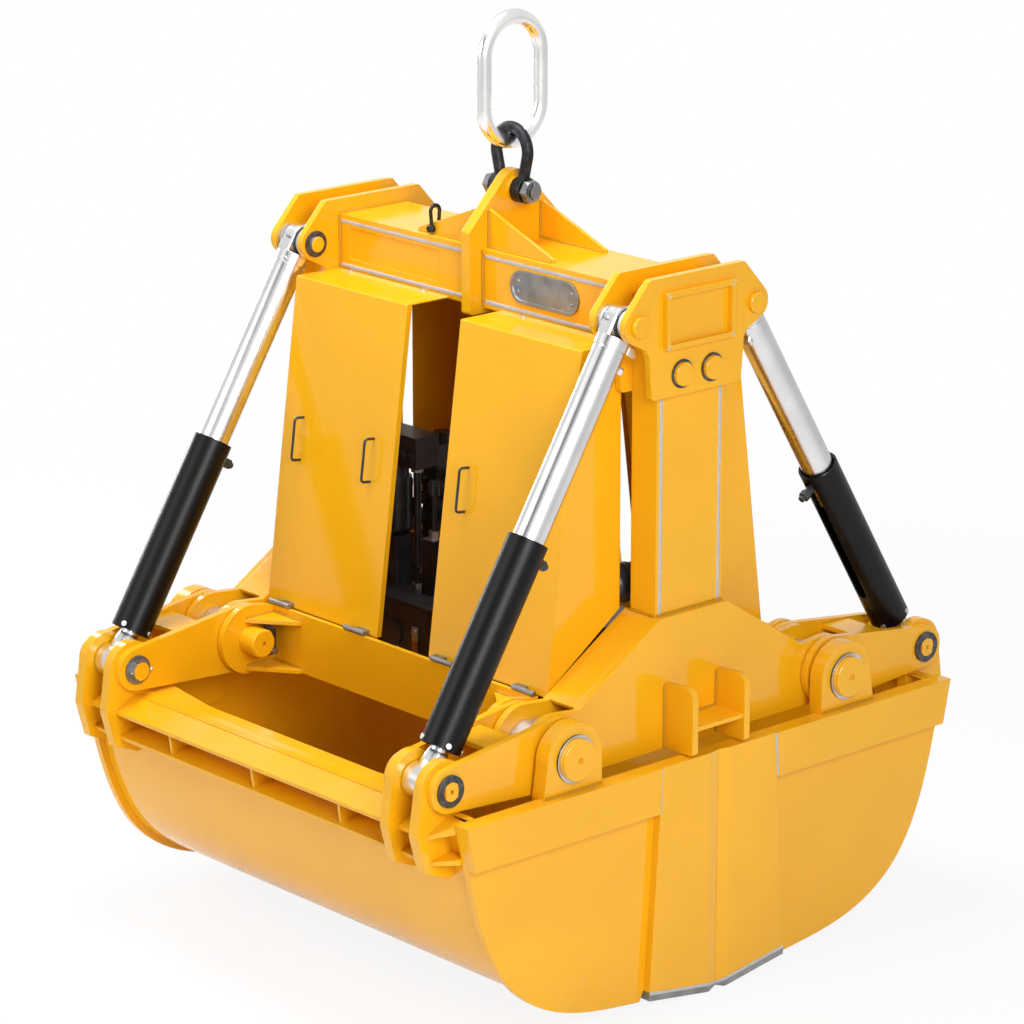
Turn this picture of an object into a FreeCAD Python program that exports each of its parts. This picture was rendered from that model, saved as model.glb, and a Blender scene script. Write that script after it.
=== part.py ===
# Two shell hydraulic grab hung from a master link, every piece a separate solid, millimetres
# X runs along the pivot pins, Y is the way the shells open, Z is up
import math
import os

import FreeCAD
import Part

Vec = FreeCAD.Vector

# Heights and stations, measured from the point midway between the two main pivots
pivot_y = 600.0
rod_pin_y = 1049.0
rod_pin_z = -15.0
head_pin_y = 251.0
head_pin_z = 1285.0
bolt_z = 1550.0

# Clearances
running = 0.05
seat_gap = 0.3
side_gap = 0.5
lip_gap = 0.5

# Master link and main shackle
link_bar = 25.0
link_half = 120.0
link_straight = 160.0
bow_wire = 19.0
bow_radius = 75.0
bolt_radius = 21.0
ear_radius = 42.0
ear_in = 33.0
ear_out = 73.0
nut_across = 68.0

# Lifting plate, gussets and beam
lift_half = 20.0
lift_boss = 12.5
lift_reach = 200.0
lift_foot_z = 1161.0
lift_shoulder_z = 1432.0
lift_apex_z = 1643.1
lift_apex_radius = 64.0
beam_half = 145.0
beam_z0 = 1180.0
beam_z1 = 1373.0
beam_wall = 14.0
gusset_y = 112.0
gusset_half = 6.0
gusset_reach = 326.0
gusset_rise = 127.0

# Stations of the plates across each end, worked inwards from the width over the rim bars
grab_width = 1980.0
bar_proud = 5.0
overlay_t = 28.0
bevel_drop = 9.0
plate = 25.0
lug_width = 55.0
lug_space = 14.5
arm_gap = 4.5
bay_width = 113.0
ear_gap = 3.5
bar_out = grab_width / 2.0
overlay_out = bar_out - bar_proud
bevel_x = overlay_out - bevel_drop
lug_out = overlay_out - overlay_t
side_in = lug_out - plate
lug_in = lug_out - lug_width
arm_out = lug_in - lug_space - plate
bay_out = arm_out - arm_gap - plate
bay_in = bay_out - bay_width
bay_mid = (bay_in + bay_out) / 2.0
beam_end = bay_in - plate
arm_in = beam_end - arm_gap
ear_plate_out = arm_in - plate - ear_gap
ear_x0 = ear_plate_out - plate

# Frame base
base_z = -105.0
base_top = 328.0
knee_y = 495.0
knee_z = 105.0
roof_set = 2.0
rail_height = 35.0
wall_y = 500.0
wall_t = 16.0
wall_top = 100.0
eye_frame = 115.0
eye_arm = 115.0
eye_ear = 118.0
main_pin = 49.0
main_cap = 67.0
pin_tail = 73.0
pin_cap = 26.5
pin_in = ear_x0 - pin_tail
pin_out = lug_out + side_gap + pin_cap
keeper_from = 36.0
column_top = 1350.0
column_wall = 12.0

# Cheeks that carry the upper cylinder pins
cheek_top = 1423.0
cheek_foot = 1040.0
cheek_ear = 57.0
head_pin = 26.0
head_cap = 34.0
head_cap_out = 18.0
head_bolt_y = 64.0
head_bolt_z = 1108.0
head_bolt_cap = 38.0
head_washer = 46.0
name_half = 148.0
name_z0 = 1195.0
name_z1 = 1377.0
name_out = 20.0

# Doors
door_x0 = 129.0
door_gap = 3.0
door_x1 = beam_end - door_gap
door_foot_y = 477.0
door_foot_z = 100.0
door_top_y = 334.0
door_rise = 12.0
door_top_z = beam_z0 + door_rise
door_sheet = 4.0
flange_y = 155.0
hinge_y = 497.0
hinge_z = 110.0
hinge_radius = 9.0
hinge_pin = 4.0
hinge_half = 50.0
hinge_x = (door_x0 + 88.0, door_x1 - 85.0)
handle_x = (door_x0 + 104.0, door_x1 - 100.0)
handle_z = (595.0, 737.0)

# Cylinders, measured along their axis from the upper pin
eye_half = 27.0
eye_chamfer = 5.0
knuckle = 55.0
collar_radius = 55.0
collar_at = (55.0, 88.0)
groove = 4.0
barrel_radius = 53.0
bore_radius = 40.0
barrel_end = 866.0
gland_at = 830.0
rod_radius = 32.0
piston_at = (625.0, 665.0)
guard_radius = 66.0
guard_bore = 58.0
guard_from = 727.0
guard_to = 1415.0
slot_at = (762.0, 1250.0)
slot_half = 20.0
port_at = 776.0
rod_pin = 30.0
rod_eye = 58.0
lug_gap = 49.0

# Shells
rim_z = -106.0
plate_set_in = 22.0
back_t = 16.0
blade_y = 300.0
blade_t = 30.0
bevel_y = 44.0
wing_x = 418.0
back_points = (
    (1067.0, -106.0), (1053.0, -180.0), (1036.0, -256.0), (1018.0, -335.0), (994.0, -425.0),
    (961.0, -520.0), (917.0, -612.0), (857.0, -695.0), (770.0, -768.0), (640.0, -829.0),
    (470.0, -866.0), (318.0, -884.0),
)
flange_back = 990.0
flange_knee = 1046.0
flange_front = 1120.0
pivot_round = 114.0
lug_round = 90.0
stub_tail = 25.5
arm_round = 72.0

span = math.hypot(rod_pin_y - head_pin_y, head_pin_z - rod_pin_z)
lean = math.degrees(math.atan2(rod_pin_y - head_pin_y, head_pin_z - rod_pin_z))


# Shape helpers
def box(x0, x1, y0, y1, z0, z1):
    return Part.makeBox(x1 - x0, y1 - y0, z1 - z0, Vec(x0, y0, z0))


def rod_x(radius, x0, x1, y, z):
    return Part.makeCylinder(radius, x1 - x0, Vec(x0, y, z), Vec(1, 0, 0))


def rod_y(radius, y0, y1, x, z):
    return Part.makeCylinder(radius, y1 - y0, Vec(x, y0, z), Vec(0, 1, 0))


def rod_z(radius, z0, z1, x, y):
    return Part.makeCylinder(radius, z1 - z0, Vec(x, y, z0), Vec(0, 0, 1))


def ring_x(outer, inner, x0, x1, y, z):
    return rod_x(outer, x0, x1, y, z).cut(rod_x(inner, x0 - 1.0, x1 + 1.0, y, z))


def outline(points, place):
    points = [(tuple(p) + (0.0,))[:3] for p in points]
    count = len(points)
    corners = []
    for i, (u, v, radius) in enumerate(points):
        pu, pv, _ = points[i - 1]
        nu, nv, _ = points[(i + 1) % count]
        back = math.hypot(pu - u, pv - v)
        ahead = math.hypot(nu - u, nv - v)
        bu, bv = (pu - u) / back, (pv - v) / back
        au, av = (nu - u) / ahead, (nv - v) / ahead
        if radius <= 0.0:
            corners.append(((u, v), None, (u, v)))
            continue
        half = math.acos(max(-1.0, min(1.0, bu * au + bv * av))) / 2.0
        cut = radius / math.tan(half)
        mu, mv = bu + au, bv + av
        size = math.hypot(mu, mv)
        reach = radius / math.sin(half) - radius
        corners.append((
            (u + bu * cut, v + bv * cut),
            (u + mu / size * reach, v + mv / size * reach),
            (u + au * cut, v + av * cut),
        ))
    edges = []
    for i, (start, middle, end) in enumerate(corners):
        if middle is not None:
            edges.append(Part.Arc(place(*start), place(*middle), place(*end)).toShape())
        following = corners[(i + 1) % count][0]
        if math.hypot(following[0] - end[0], following[1] - end[1]) > 1e-6:
            edges.append(Part.makeLine(place(*end), place(*following)))
    return Part.Face(Part.Wire(edges))


def plate_x(points, x0, x1):
    return outline(points, lambda u, v: Vec(x0, u, v)).extrude(Vec(x1 - x0, 0, 0))


def plate_y(points, y0, y1):
    return outline(points, lambda u, v: Vec(u, y0, v)).extrude(Vec(0, y1 - y0, 0))


def plate_z(points, z0, z1):
    return outline(points, lambda u, v: Vec(u, v, z0)).extrude(Vec(0, 0, z1 - z0))


def hexagon(across, place, angle=0.0):
    radius = across / math.sqrt(3.0)
    spots = []
    for i in range(6):
        turn = math.radians(angle + 60.0 * i)
        spots.append(place(radius * math.cos(turn), radius * math.sin(turn)))
    return Part.Face(Part.makePolygon(spots + [spots[0]]))


def hex_x(across, x0, x1, y, z):
    return hexagon(across, lambda u, v: Vec(x0, y + u, z + v)).extrude(Vec(x1 - x0, 0, 0))


def hex_y(across, y0, y1, x, z):
    return hexagon(across, lambda u, v: Vec(x + u, y0, z + v)).extrude(Vec(0, y1 - y0, 0))


def hex_z(across, z0, z1, x, y):
    return hexagon(across, lambda u, v: Vec(x + u, y + v, z0)).extrude(Vec(0, 0, z1 - z0))


def join(shapes):
    shapes = list(shapes)
    whole = shapes[0]
    if len(shapes) > 1:
        whole = whole.fuse(shapes[1:])
    return whole.removeSplitter()


def carve(shape, tools):
    tools = list(tools)
    return shape.cut(tools) if tools else shape


def flip_x(shape):
    return shape.mirror(Vec(0, 0, 0), Vec(1, 0, 0))


def flip_y(shape):
    return shape.mirror(Vec(0, 0, 0), Vec(0, 1, 0))


def ends(shape):
    return [shape, flip_x(shape)]


def corners_of(shape):
    return [shape, flip_x(shape), flip_y(shape), flip_x(flip_y(shape))]


def touch(spot, centre, radius, side):
    away = math.hypot(spot[0] - centre[0], spot[1] - centre[1])
    base = math.atan2(spot[1] - centre[1], spot[0] - centre[0])
    turn = base + side * math.acos(radius / away)
    return centre[0] + radius * math.cos(turn), centre[1] + radius * math.sin(turn)


def belt(first, r1, second, r2, x0, x1):
    away = math.hypot(second[0] - first[0], second[1] - first[1])
    base = math.atan2(second[1] - first[1], second[0] - first[0])
    turn = math.acos((r1 - r2) / away)
    points = []
    for centre, radius, side in ((first, r1, 1), (second, r2, 1), (second, r2, -1), (first, r1, -1)):
        angle = base + side * turn
        points.append((centre[0] + radius * math.cos(angle), centre[1] + radius * math.sin(angle)))
    body = plate_x(points, x0, x1)
    return join([body, rod_x(r1, x0, x1, *first), rod_x(r2, x0, x1, *second)])


def sweep(edges, radius):
    path = Part.Wire(edges)
    first = path.OrderedEdges[0]
    start = first.valueAt(first.FirstParameter)
    along = first.tangentAt(first.FirstParameter)
    disc = Part.Wire(Part.makeCircle(radius, start, along))
    return path.makePipeShell([disc], True, True)


def bent(points, bend, radius):
    points = [Vec(*p) for p in points]
    edges = []
    last = points[0]
    for i in range(1, len(points) - 1):
        here = points[i]
        back = (points[i - 1] - here).normalize()
        ahead = (points[i + 1] - here).normalize()
        half = math.acos(back.dot(ahead)) / 2.0
        cut = bend / math.tan(half)
        middle = (back + ahead).normalize() * (bend / math.sin(half) - bend)
        edges.append(Part.makeLine(last, here + back * cut))
        edges.append(Part.Arc(here + back * cut, here + middle, here + ahead * cut).toShape())
        last = here + ahead * cut
    edges.append(Part.makeLine(last, points[-1]))
    return sweep(edges, radius)


def save(name, shapes):
    if not isinstance(shapes, (list, tuple)):
        shapes = [shapes]
    solids = []
    for shape in shapes:
        solids.extend(shape.Solids)
    whole = solids[0] if len(solids) == 1 else Part.makeCompound(solids)
    whole = whole.copy()
    whole.translate(Vec(0, 0, -hang_z))
    whole.exportStep("parts/" + name + ".step")


os.makedirs("parts", exist_ok=True)

# Heights of the hanging gear, worked up from the shackle bolt
bow_centre_z = bolt_z + 122.3
bow_top_z = bow_centre_z + bow_radius
link_low_z = bow_top_z - link_bar - bow_wire - seat_gap
link_high_z = link_low_z + link_straight + 2.0 * link_half
hang_z = link_high_z - link_bar


# Master link, an oval ring of round bar standing in the YZ plane
def link_end(z, up):
    start = Part.makeCircle(link_bar, Vec(0, link_half, z), Vec(0, 0, 1))
    face = Part.Face(Part.Wire(start))
    return face.revolve(Vec(0, 0, z), Vec(1, 0, 0), 180.0 * up)


low_centre = link_low_z + link_half
high_centre = low_centre + link_straight
link_parts = [
    link_end(high_centre, 1),
    link_end(low_centre, -1),
    rod_z(link_bar, low_centre, high_centre, 0, link_half),
    rod_z(link_bar, low_centre, high_centre, 0, -link_half),
]
save("master_link", join(link_parts))


# Bow shackle: a round bow whose legs run straight into two drilled ears
def bow_shape(wire, radius, centre_z, leg_x, leg_z, place):
    away = math.hypot(leg_x, leg_z - centre_z)
    base = math.atan2(leg_z - centre_z, leg_x)
    turn = base + math.acos(radius / away)
    right = (radius * math.cos(turn), centre_z + radius * math.sin(turn))
    edges = [
        Part.makeLine(place(leg_x, leg_z), place(*right)),
        Part.Arc(place(*right), place(0, centre_z + radius), place(-right[0], right[1])).toShape(),
        Part.makeLine(place(-right[0], right[1]), place(-leg_x, leg_z)),
    ]
    return sweep(edges, wire)


leg_x = ear_in + bow_wire
washer_t = 5.0
bow = bow_shape(bow_wire, bow_radius, bow_centre_z, leg_x, bolt_z + 22.0, lambda u, v: Vec(u, 0, v))
bow_ears = ends(rod_x(ear_radius, ear_in, ear_out, 0, bolt_z))
bow = join([bow] + bow_ears).cut(rod_x(bolt_radius + running, -90, 90, 0, bolt_z))
save("shackle_bow", bow)

# Shackle bolt with its round washer, hexagon head and drilled tail, its nut and split pin
head_x = -ear_out - seat_gap
bolt = join([
    rod_x(bolt_radius, head_x, 113.0, 0, bolt_z),
    rod_x(27.0, head_x - washer_t, head_x, 0, bolt_z),
    hex_x(60.0, head_x - 34.0, head_x - washer_t, 0, bolt_z),
])
bolt = bolt.cut(rod_z(3.6, bolt_z - 30.0, bolt_z + 30.0, 107.0, 0))
nut = join([
    rod_x(27.0, ear_out + seat_gap, -head_x + washer_t, 0, bolt_z),
    hex_x(nut_across, -head_x + washer_t, ear_out + 29.0, 0, bolt_z),
])
nut = nut.common(Part.makeCone(nut_across / 2.0 + 9.0, nut_across / 2.0 + 1.0, 29.0,
                               Vec(ear_out, 0, bolt_z), Vec(1, 0, 0)))
nut = nut.cut(rod_x(bolt_radius, ear_out, 120.0, 0, bolt_z))
split_pin = rod_z(3.5, bolt_z - 27.0, bolt_z + 27.0, 107.0, 0)
save("shackle_bolt", [bolt, nut, split_pin])

# Lifting plate, slotted through the beam
lift_outline = [
    (-lift_reach, lift_foot_z, 12.0), (lift_reach, lift_foot_z, 12.0),
    (lift_reach, lift_shoulder_z, 18.0), (0.0, lift_apex_z, lift_apex_radius),
    (-lift_reach, lift_shoulder_z, 18.0),
]
lift = join([
    plate_x(lift_outline, -lift_half, lift_half),
    rod_x(40.0, -lift_half - lift_boss, lift_half + lift_boss, 0, bolt_z),
])
lift = lift.cut(rod_x(bolt_radius + running, -60, 60, 0, bolt_z))
save("lifting_plate", lift)

# Gussets between lifting plate and beam, the left front one drilled for the small shackle
small_x = -249.0
small_z = beam_z1 + 19.0
small_pin = 7.5
gusset = plate_y([
    (lift_half, beam_z1), (gusset_reach, beam_z1), (gusset_reach, beam_z1 + 10.0),
    (lift_half, beam_z1 + gusset_rise),
], gusset_y - gusset_half, gusset_y + gusset_half)
gussets = corners_of(gusset)
small_bore = rod_y(small_pin + running, -gusset_y - 20.0, -gusset_y + 20.0, small_x, small_z)
save("lifting_gussets", [carve(g, [small_bore]) for g in gussets])

# Small bow shackle standing on the left front gusset
small_y = -gusset_y
small_bow = bow_shape(6.0, 19.0, small_z + 57.0, 15.0, small_z + 6.0,
                      lambda u, v: Vec(small_x, small_y + u, v))
small_ears = [
    rod_y(12.0, small_y + 9.0, small_y + 21.0, small_x, small_z),
    rod_y(12.0, small_y - 21.0, small_y - 9.0, small_x, small_z),
]
small_rod = rod_y(small_pin, small_y - 29.0, small_y + 26.0, small_x, small_z)
small_head = hex_y(20.0, small_y - 29.0, small_y - 21.0, small_x, small_z)
save("small_shackle", join([small_bow] + small_ears + [small_rod, small_head]))

# Top beam: two hollow halves butted against the lifting plate, webs set back from the flanges
web_set = 2.0
panel_set = 4.0
half_beam = box(lift_half, beam_end, -beam_half, beam_half, beam_z0, beam_z1)
half_beam = half_beam.cut(box(lift_half + beam_wall, beam_end - beam_wall, -beam_half + beam_wall,
                              beam_half - beam_wall, beam_z0 + 16.0, beam_z1 - 18.0))
for low, high in ((-beam_half, -beam_half + web_set), (beam_half - web_set, beam_half)):
    half_beam = half_beam.cut(box(lift_half, beam_end, low, high, beam_z0 + 16.0, beam_z1 - 18.0))
panel_x = (52.0 - beam_end, -191.0)
panel_z = (beam_z0 + 46.0, beam_z1 - 41.0)
panel = plate_y([(panel_x[0], panel_z[0], 6.0), (panel_x[1], panel_z[0], 6.0), (panel_x[1], panel_z[1], 6.0),
                 (panel_x[0], panel_z[1], 6.0)], -beam_half - 1.0, -beam_half + web_set + panel_set)
save("top_beam", [half_beam, flip_x(half_beam).cut(panel)])

# Rest tabs under the door flanges
rest = [box(x - 25.0, x + 25.0, beam_half, 196.0, beam_z0 + 1.0, door_top_z - door_sheet - seat_gap)
        for x in (door_x0 + 111.0, door_x1 - 82.0)]
rests = []
for tab in rest:
    rests.extend(corners_of(tab))

# Head cheeks with ears for the upper cylinder pins
cheek_half = [
    (203.0, cheek_top, 15.0), (head_pin_y + 92.5, head_pin_z - 16.4, cheek_ear),
    (202.0, head_pin_z - 89.4, 45.0), (202.0, head_pin_z - 123.0, 0.0), (192.0, cheek_foot, 15.0),
]
cheek_line = cheek_half + [(-y, z, r) for y, z, r in reversed(cheek_half)]
head_bores = [rod_x(head_pin, arm_in, arm_out, side * head_pin_y, head_pin_z) for side in (1, -1)]
cheeks = []
for x0 in (bay_in - plate, bay_out):
    cheek = carve(plate_x(cheek_line, x0, x0 + plate), head_bores)
    cheeks.extend(ends(cheek))
save("head_cheeks", cheeks)

# Columns, closed hollow boxes standing between the plates
column = box(bay_in, bay_out, -beam_half, beam_half, base_z, column_top)
column = column.cut(box(bay_in + column_wall, bay_out - column_wall, -beam_half + column_wall,
                        beam_half - column_wall, base_z + column_wall, column_top - column_wall))
save("columns", ends(column))

# Bare name frame and capped bolts on the outer cheeks
face_x = bay_out + plate


def name_line(inset, radius):
    half = name_half - inset
    low, high = name_z0 + inset, name_z1 - inset
    return [(-half, low, radius), (half, low, radius), (half, high, radius), (-half, high, radius)]


name_frame = plate_x(name_line(0.0, 6.0), face_x, face_x + name_out)
name_frame = name_frame.cut(plate_x(name_line(17.0, 4.0), face_x - 1.0, face_x + name_out + 1.0))
trim = [name_frame]
for side in (1, -1):
    trim.append(rod_x(head_washer, face_x, face_x + 4.0, side * head_bolt_y, head_bolt_z))
    cap = rod_x(head_bolt_cap, face_x + 4.0, face_x + 18.0, side * head_bolt_y, head_bolt_z)
    trim.append(cap.makeChamfer(3.0, [e for e in cap.Edges if e.CenterOfMass.x > face_x + 17.0]))
save("head_trim", trim + [flip_x(t) for t in trim])


# Upper cylinder pins, each with a dark seal ring and a steel spacer either side of the knuckle
def spacers(away):
    rings = []
    for radius, start, end in (
        (50.0, 0.0, 5.0), (43.0, 5.0, 8.0), (47.0, 8.0, 22.0), (43.0, 22.0, 25.0),
        (47.0, 25.0, bay_out - bay_mid - eye_half - side_gap),
    ):
        near = bay_mid + away * (eye_half + side_gap + start)
        far = bay_mid + away * (eye_half + side_gap + end)
        rings.append(ring_x(radius, head_pin, min(near, far), max(near, far), head_pin_y, head_pin_z))
    return [rings[0], join(rings[1:])]


inner_end = bay_in - plate - 18.0
pin = join([
    rod_x(head_pin, inner_end, face_x, head_pin_y, head_pin_z),
    rod_x(head_cap, face_x, face_x + head_cap_out, head_pin_y, head_pin_z),
])
pin = pin.makeChamfer(3.0, [e for e in pin.Edges if e.Curve.TypeId == "Part::GeomCircle" and (
    e.CenterOfMass.x < inner_end + 0.1 or e.CenterOfMass.x > face_x + head_cap_out - 0.1)])
inboard_ring = ring_x(44.0, head_pin, bay_in - plate - 7.0, bay_in - plate, head_pin_y, head_pin_z)
pin_set = [pin, inboard_ring] + spacers(-1.0) + spacers(1.0)
pins = []
for piece in pin_set:
    pins.extend(corners_of(piece))
save("upper_pins", pins)

# Base plates: long plates either side of each column, an eye at both ends
eye_touch = touch((knee_y, knee_z), (pivot_y, 0.0), eye_frame, -1)
roof_y = beam_half + roof_set
base_half = [(pivot_y, base_z), (pivot_y, 0.0), eye_touch, (knee_y, knee_z), (roof_y, base_top)]
base_line = base_half + [(-y, z) for y, z in reversed(base_half)]
pivot_bores = [rod_x(main_pin, pin_in, pin_out, side * pivot_y, 0.0) for side in (1, -1)]
base_plates = []
for x0 in (bay_in - plate, bay_out):
    discs = [rod_x(eye_frame, x0, x0 + plate, side * pivot_y, 0.0) for side in (1, -1)]
    long_plate = carve(join([plate_x(base_line, x0, x0 + plate)] + discs), pivot_bores)
    base_plates.extend(ends(long_plate))

# Pivot ears inboard of the arms, each stiffened by two triangular ribs
ear_touch = touch((wall_y, wall_top), (pivot_y, 0.0), eye_ear, -1)
ear_line = [(wall_y, base_z), (pivot_y, base_z), (pivot_y, 0.0), ear_touch, (wall_y, wall_top)]
rib_line = [(ear_x0, wall_y), (ear_x0 - 150.0, wall_y), (ear_x0 - 150.0, wall_y + 12.0, 8.0),
            (ear_x0, wall_y + 124.0)]
ear = join([
    plate_x(ear_line, ear_x0, ear_plate_out),
    rod_x(eye_ear, ear_x0, ear_plate_out, pivot_y, 0.0),
    plate_z(rib_line, 62.0, 76.0),
    plate_z(rib_line, base_z, base_z + 14.0),
])
ear = carve(ear, pivot_bores + [box(ear_x0 - 5.0, ear_plate_out + 5.0, 400.0, wall_y, -130.0, 130.0)])
save("pivot_ears", corners_of(ear))

# Front and rear walls, stepped back behind the arm slots, and the rails that carry the tank
step_y = wall_y - 38.0
wall = join([
    box(-ear_plate_out, ear_plate_out, wall_y - wall_t, wall_y, base_z, wall_top),
    box(ear_plate_out - 14.0, ear_plate_out, step_y, wall_y, base_z, 85.0),
    box(-ear_plate_out, -ear_plate_out + 14.0, step_y, wall_y, base_z, 85.0),
    box(ear_plate_out - 14.0, bay_in - plate, step_y, step_y + 14.0, base_z, 85.0),
    box(plate - bay_in, -ear_plate_out + 14.0, step_y, step_y + 14.0, base_z, 85.0),
])
rail = box(-320.0, -280.0, wall_t - wall_y, wall_y - wall_t, base_z, base_z + rail_height)
save("base_walls", [wall, flip_y(wall), rail, flip_x(rail)])

# Sloping roof strips over the open ends of the base
slope = math.atan2(base_top - knee_z, knee_y - roof_y)
strip_t = 14.0
strip_end = knee_y - 5.0
down_y = strip_t * math.sin(slope)
down_z = strip_t * math.cos(slope)
tip_z = base_top - (strip_end - roof_y) * math.tan(slope)
root_z = base_top - down_z - (down_y - roof_set) * math.tan(slope)
strip = plate_x([
    (beam_half, base_top), (roof_y, base_top), (strip_end, tip_z), (strip_end - down_y, tip_z - down_z),
    (beam_half, root_z),
], bay_in, bay_out)
save("base_plates", base_plates + corners_of(strip))

# Guide brackets outside the base ends, two upright plates and a shelf
bracket_parts = []
bracket_out = face_x + 130.0
for y0 in (102.0, -126.0):
    bracket_parts.append(plate_y([
        (face_x, -100.0), (bracket_out, -100.0, 12.0), (bracket_out, 122.0, 35.0), (face_x, 112.0),
    ], y0, y0 + 24.0))
bracket_parts.append(box(face_x, bracket_out - 8.0, -102.0, 102.0, -24.0, -10.0))
bracket = join(bracket_parts)
save("guide_brackets", ends(bracket))

# Steel bearing blocks between the base plates at each pivot
block = join([
    rod_x(68.0, bay_in, bay_out, pivot_y, 0.0),
    box(bay_in, bay_out, pivot_y - 109.0, pivot_y - 44.0, -70.0, 56.0),
])
block = carve(block, pivot_bores)
save("bearing_blocks", corners_of(block))

# Main pins with raised outer caps, locked by a keeper plate and two bolts
shaft = rod_x(main_pin, pin_in, lug_out + side_gap, pivot_y, 0.0)
shaft = shaft.makeChamfer(5.0, [e for e in shaft.Edges if e.CenterOfMass.x < pin_in + 1.0
                                and e.Curve.TypeId == "Part::GeomCircle"])
cap = rod_x(main_cap, lug_out + side_gap, pin_out, pivot_y, 0.0)
cap = cap.makeChamfer(3.0, [e for e in cap.Edges if e.CenterOfMass.x > pin_out - 1.0
                            and e.Curve.TypeId == "Part::GeomCircle"])
keeper_x = pin_in + keeper_from
keeper_bolt_y = pivot_y - 68.0
keeper_edge = pivot_y - 38.0
main = join([shaft, cap])
main = carve(main, [
    rod_x(8.0, pin_in - 1.0, pin_in + 14.0, pivot_y, 0.0),
    rod_x(10.0, pin_out - 8.0, pin_out + 1.0, pivot_y, 0.0),
    rod_x(4.0, pin_out - 30.0, pin_out + 1.0, pivot_y, 0.0),
    box(keeper_x, keeper_x + 8.0, pivot_y - 60.0, keeper_edge, -60.0, 60.0),
])
keeper = box(keeper_x, keeper_x + 8.0, keeper_bolt_y - 12.0, keeper_edge, -60.0, 60.0)
main_set = [main, keeper]
for z in (-46.0, 46.0):
    screw = join([
        hex_x(22.0, keeper_x - 11.0, keeper_x - 2.0, keeper_bolt_y, z),
        rod_x(14.0, keeper_x - 2.0, keeper_x, keeper_bolt_y, z),
    ])
    main_set.append(screw)
    main_set.append(rod_x(11.0, keeper_x + 8.0, ear_x0, keeper_bolt_y, z))
mains = []
for piece in main_set:
    mains.extend(corners_of(piece))
save("main_pins", mains)

# Tank resting on the rails, with a lid that overhangs all round
tank_z0 = base_z + rail_height
tank_top = 140.0
lid_z = 148.0
tank_half = 238.0
tank_wall = 6.0
lid_over = 12.0
motor_x = 105.0 - beam_end
stack_x = motor_x + 194.0
tank_x0 = stack_x - 24.0
tank_x1 = tank_x0 + 800.0


def tank_plan(x0, x1, half, radius):
    return [(x0, -half, radius), (x1, -half, radius), (x1, half, radius), (x0, half, radius)]


tank = join([
    plate_z(tank_plan(tank_x0, tank_x1, tank_half, 14.0), tank_z0, tank_top),
    plate_z(tank_plan(tank_x0 - 25.0, tank_x1 + 15.0, tank_half + lid_over, 10.0), tank_top, lid_z),
])
tank = tank.cut(box(tank_x0 + tank_wall, tank_x1 - tank_wall, tank_wall - tank_half, tank_half - tank_wall,
                    tank_z0 + tank_wall, tank_top))
save("tank", tank)

# Motor on its bell housing, on a shelf carried by the left column
motor_y = -40.0
shelf_end = 250.0 - beam_end
shelf = join([
    box(-beam_end, shelf_end, motor_y - 100.0, motor_y + 100.0, 140.0, 150.0),
    box(-beam_end, shelf_end, motor_y - 100.0, motor_y - 90.0, 90.0, 140.0),
    box(-beam_end, shelf_end, motor_y + 90.0, motor_y + 100.0, 90.0, 140.0),
])
motor_parts = [
    rod_z(74.0, 150.0, 196.0, motor_x, motor_y),
    rod_z(58.0, 196.0, 290.0, motor_x, motor_y),
    rod_z(92.0, 290.0, 304.0, motor_x, motor_y),
    rod_z(80.0, 304.0, 440.0, motor_x, motor_y),
    rod_z(90.0, 440.0, 458.0, motor_x, motor_y),
    box(motor_x + 60.0, motor_x + 104.0, motor_y - 34.0, motor_y + 34.0, 340.0, 410.0),
]
for i in range(24):
    fin = box(motor_x + 74.0, motor_x + 89.0, motor_y - 1.6, motor_y + 1.6, 304.0, 440.0)
    fin.rotate(Vec(motor_x, motor_y, 0), Vec(0, 0, 1), 15.0 * i + 7.5)
    motor_parts.append(fin)

# Valve stack on the tank lid, with a bracket over its top that holds the filter head
stack_y = 40.0
stack_top = 600.0
valve_parts = [
    box(stack_x - 44.0, stack_x + 44.0, stack_y - 70.0, stack_y + 70.0, lid_z, lid_z + 20.0),
    box(stack_x - 36.0, stack_x + 36.0, stack_y - 56.0, stack_y + 56.0, lid_z + 20.0, stack_top),
]
for i in range(5):
    z = 205.0 + 70.0 * i
    valve_parts.append(box(stack_x - 40.0, stack_x + 46.0, stack_y - 64.0, stack_y + 64.0, z, z + 34.0))
    valve_parts.append(rod_x(19.0, stack_x + 44.0, stack_x + 96.0, stack_y, z + 17.0))
    valve_parts.append(rod_y(16.0, stack_y - 96.0, stack_y - 50.0, stack_x, z + 17.0))
filter_back = -60.0
valve_parts.append(box(stack_x - 36.0, stack_x + 36.0, filter_back, stack_y + 56.0, stack_top, stack_top + 16.0))
valve_parts.append(rod_z(30.0, stack_top + 16.0, stack_top + 52.0, stack_x, stack_y))

# Pressure filter: a port block with a long bowl screwed in from below, over a dark pedestal
filter_x = stack_x - 44.0
filter_y = filter_back - 60.0
filter_front = filter_back - 100.0
head_z = stack_top - 28.0
bowl_z0 = 328.0
bowl_z1 = head_z - 53.0
bowl = rod_z(50.0, bowl_z0, bowl_z1, filter_x, filter_y)
bowl = bowl.makeFillet(16.0, [e for e in bowl.Edges if abs(e.CenterOfMass.z - bowl_z0) < 0.1])
filter_parts = [
    box(filter_x - 60.0, filter_x + 144.0, filter_front, filter_back, head_z, head_z + 108.0),
    rod_z(40.0, bowl_z1, head_z, filter_x, filter_y),
    bowl,
    rod_y(24.0, filter_front - 12.0, filter_front, filter_x, head_z + 68.0),
    rod_y(14.0, filter_front - 20.0, filter_front - 12.0, filter_x, head_z + 68.0),
]
for x in (filter_x + 118.0, filter_x + 76.0):
    filter_parts.append(rod_y(20.0, filter_front - 14.0, filter_front, x, head_z + 34.0))
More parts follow.
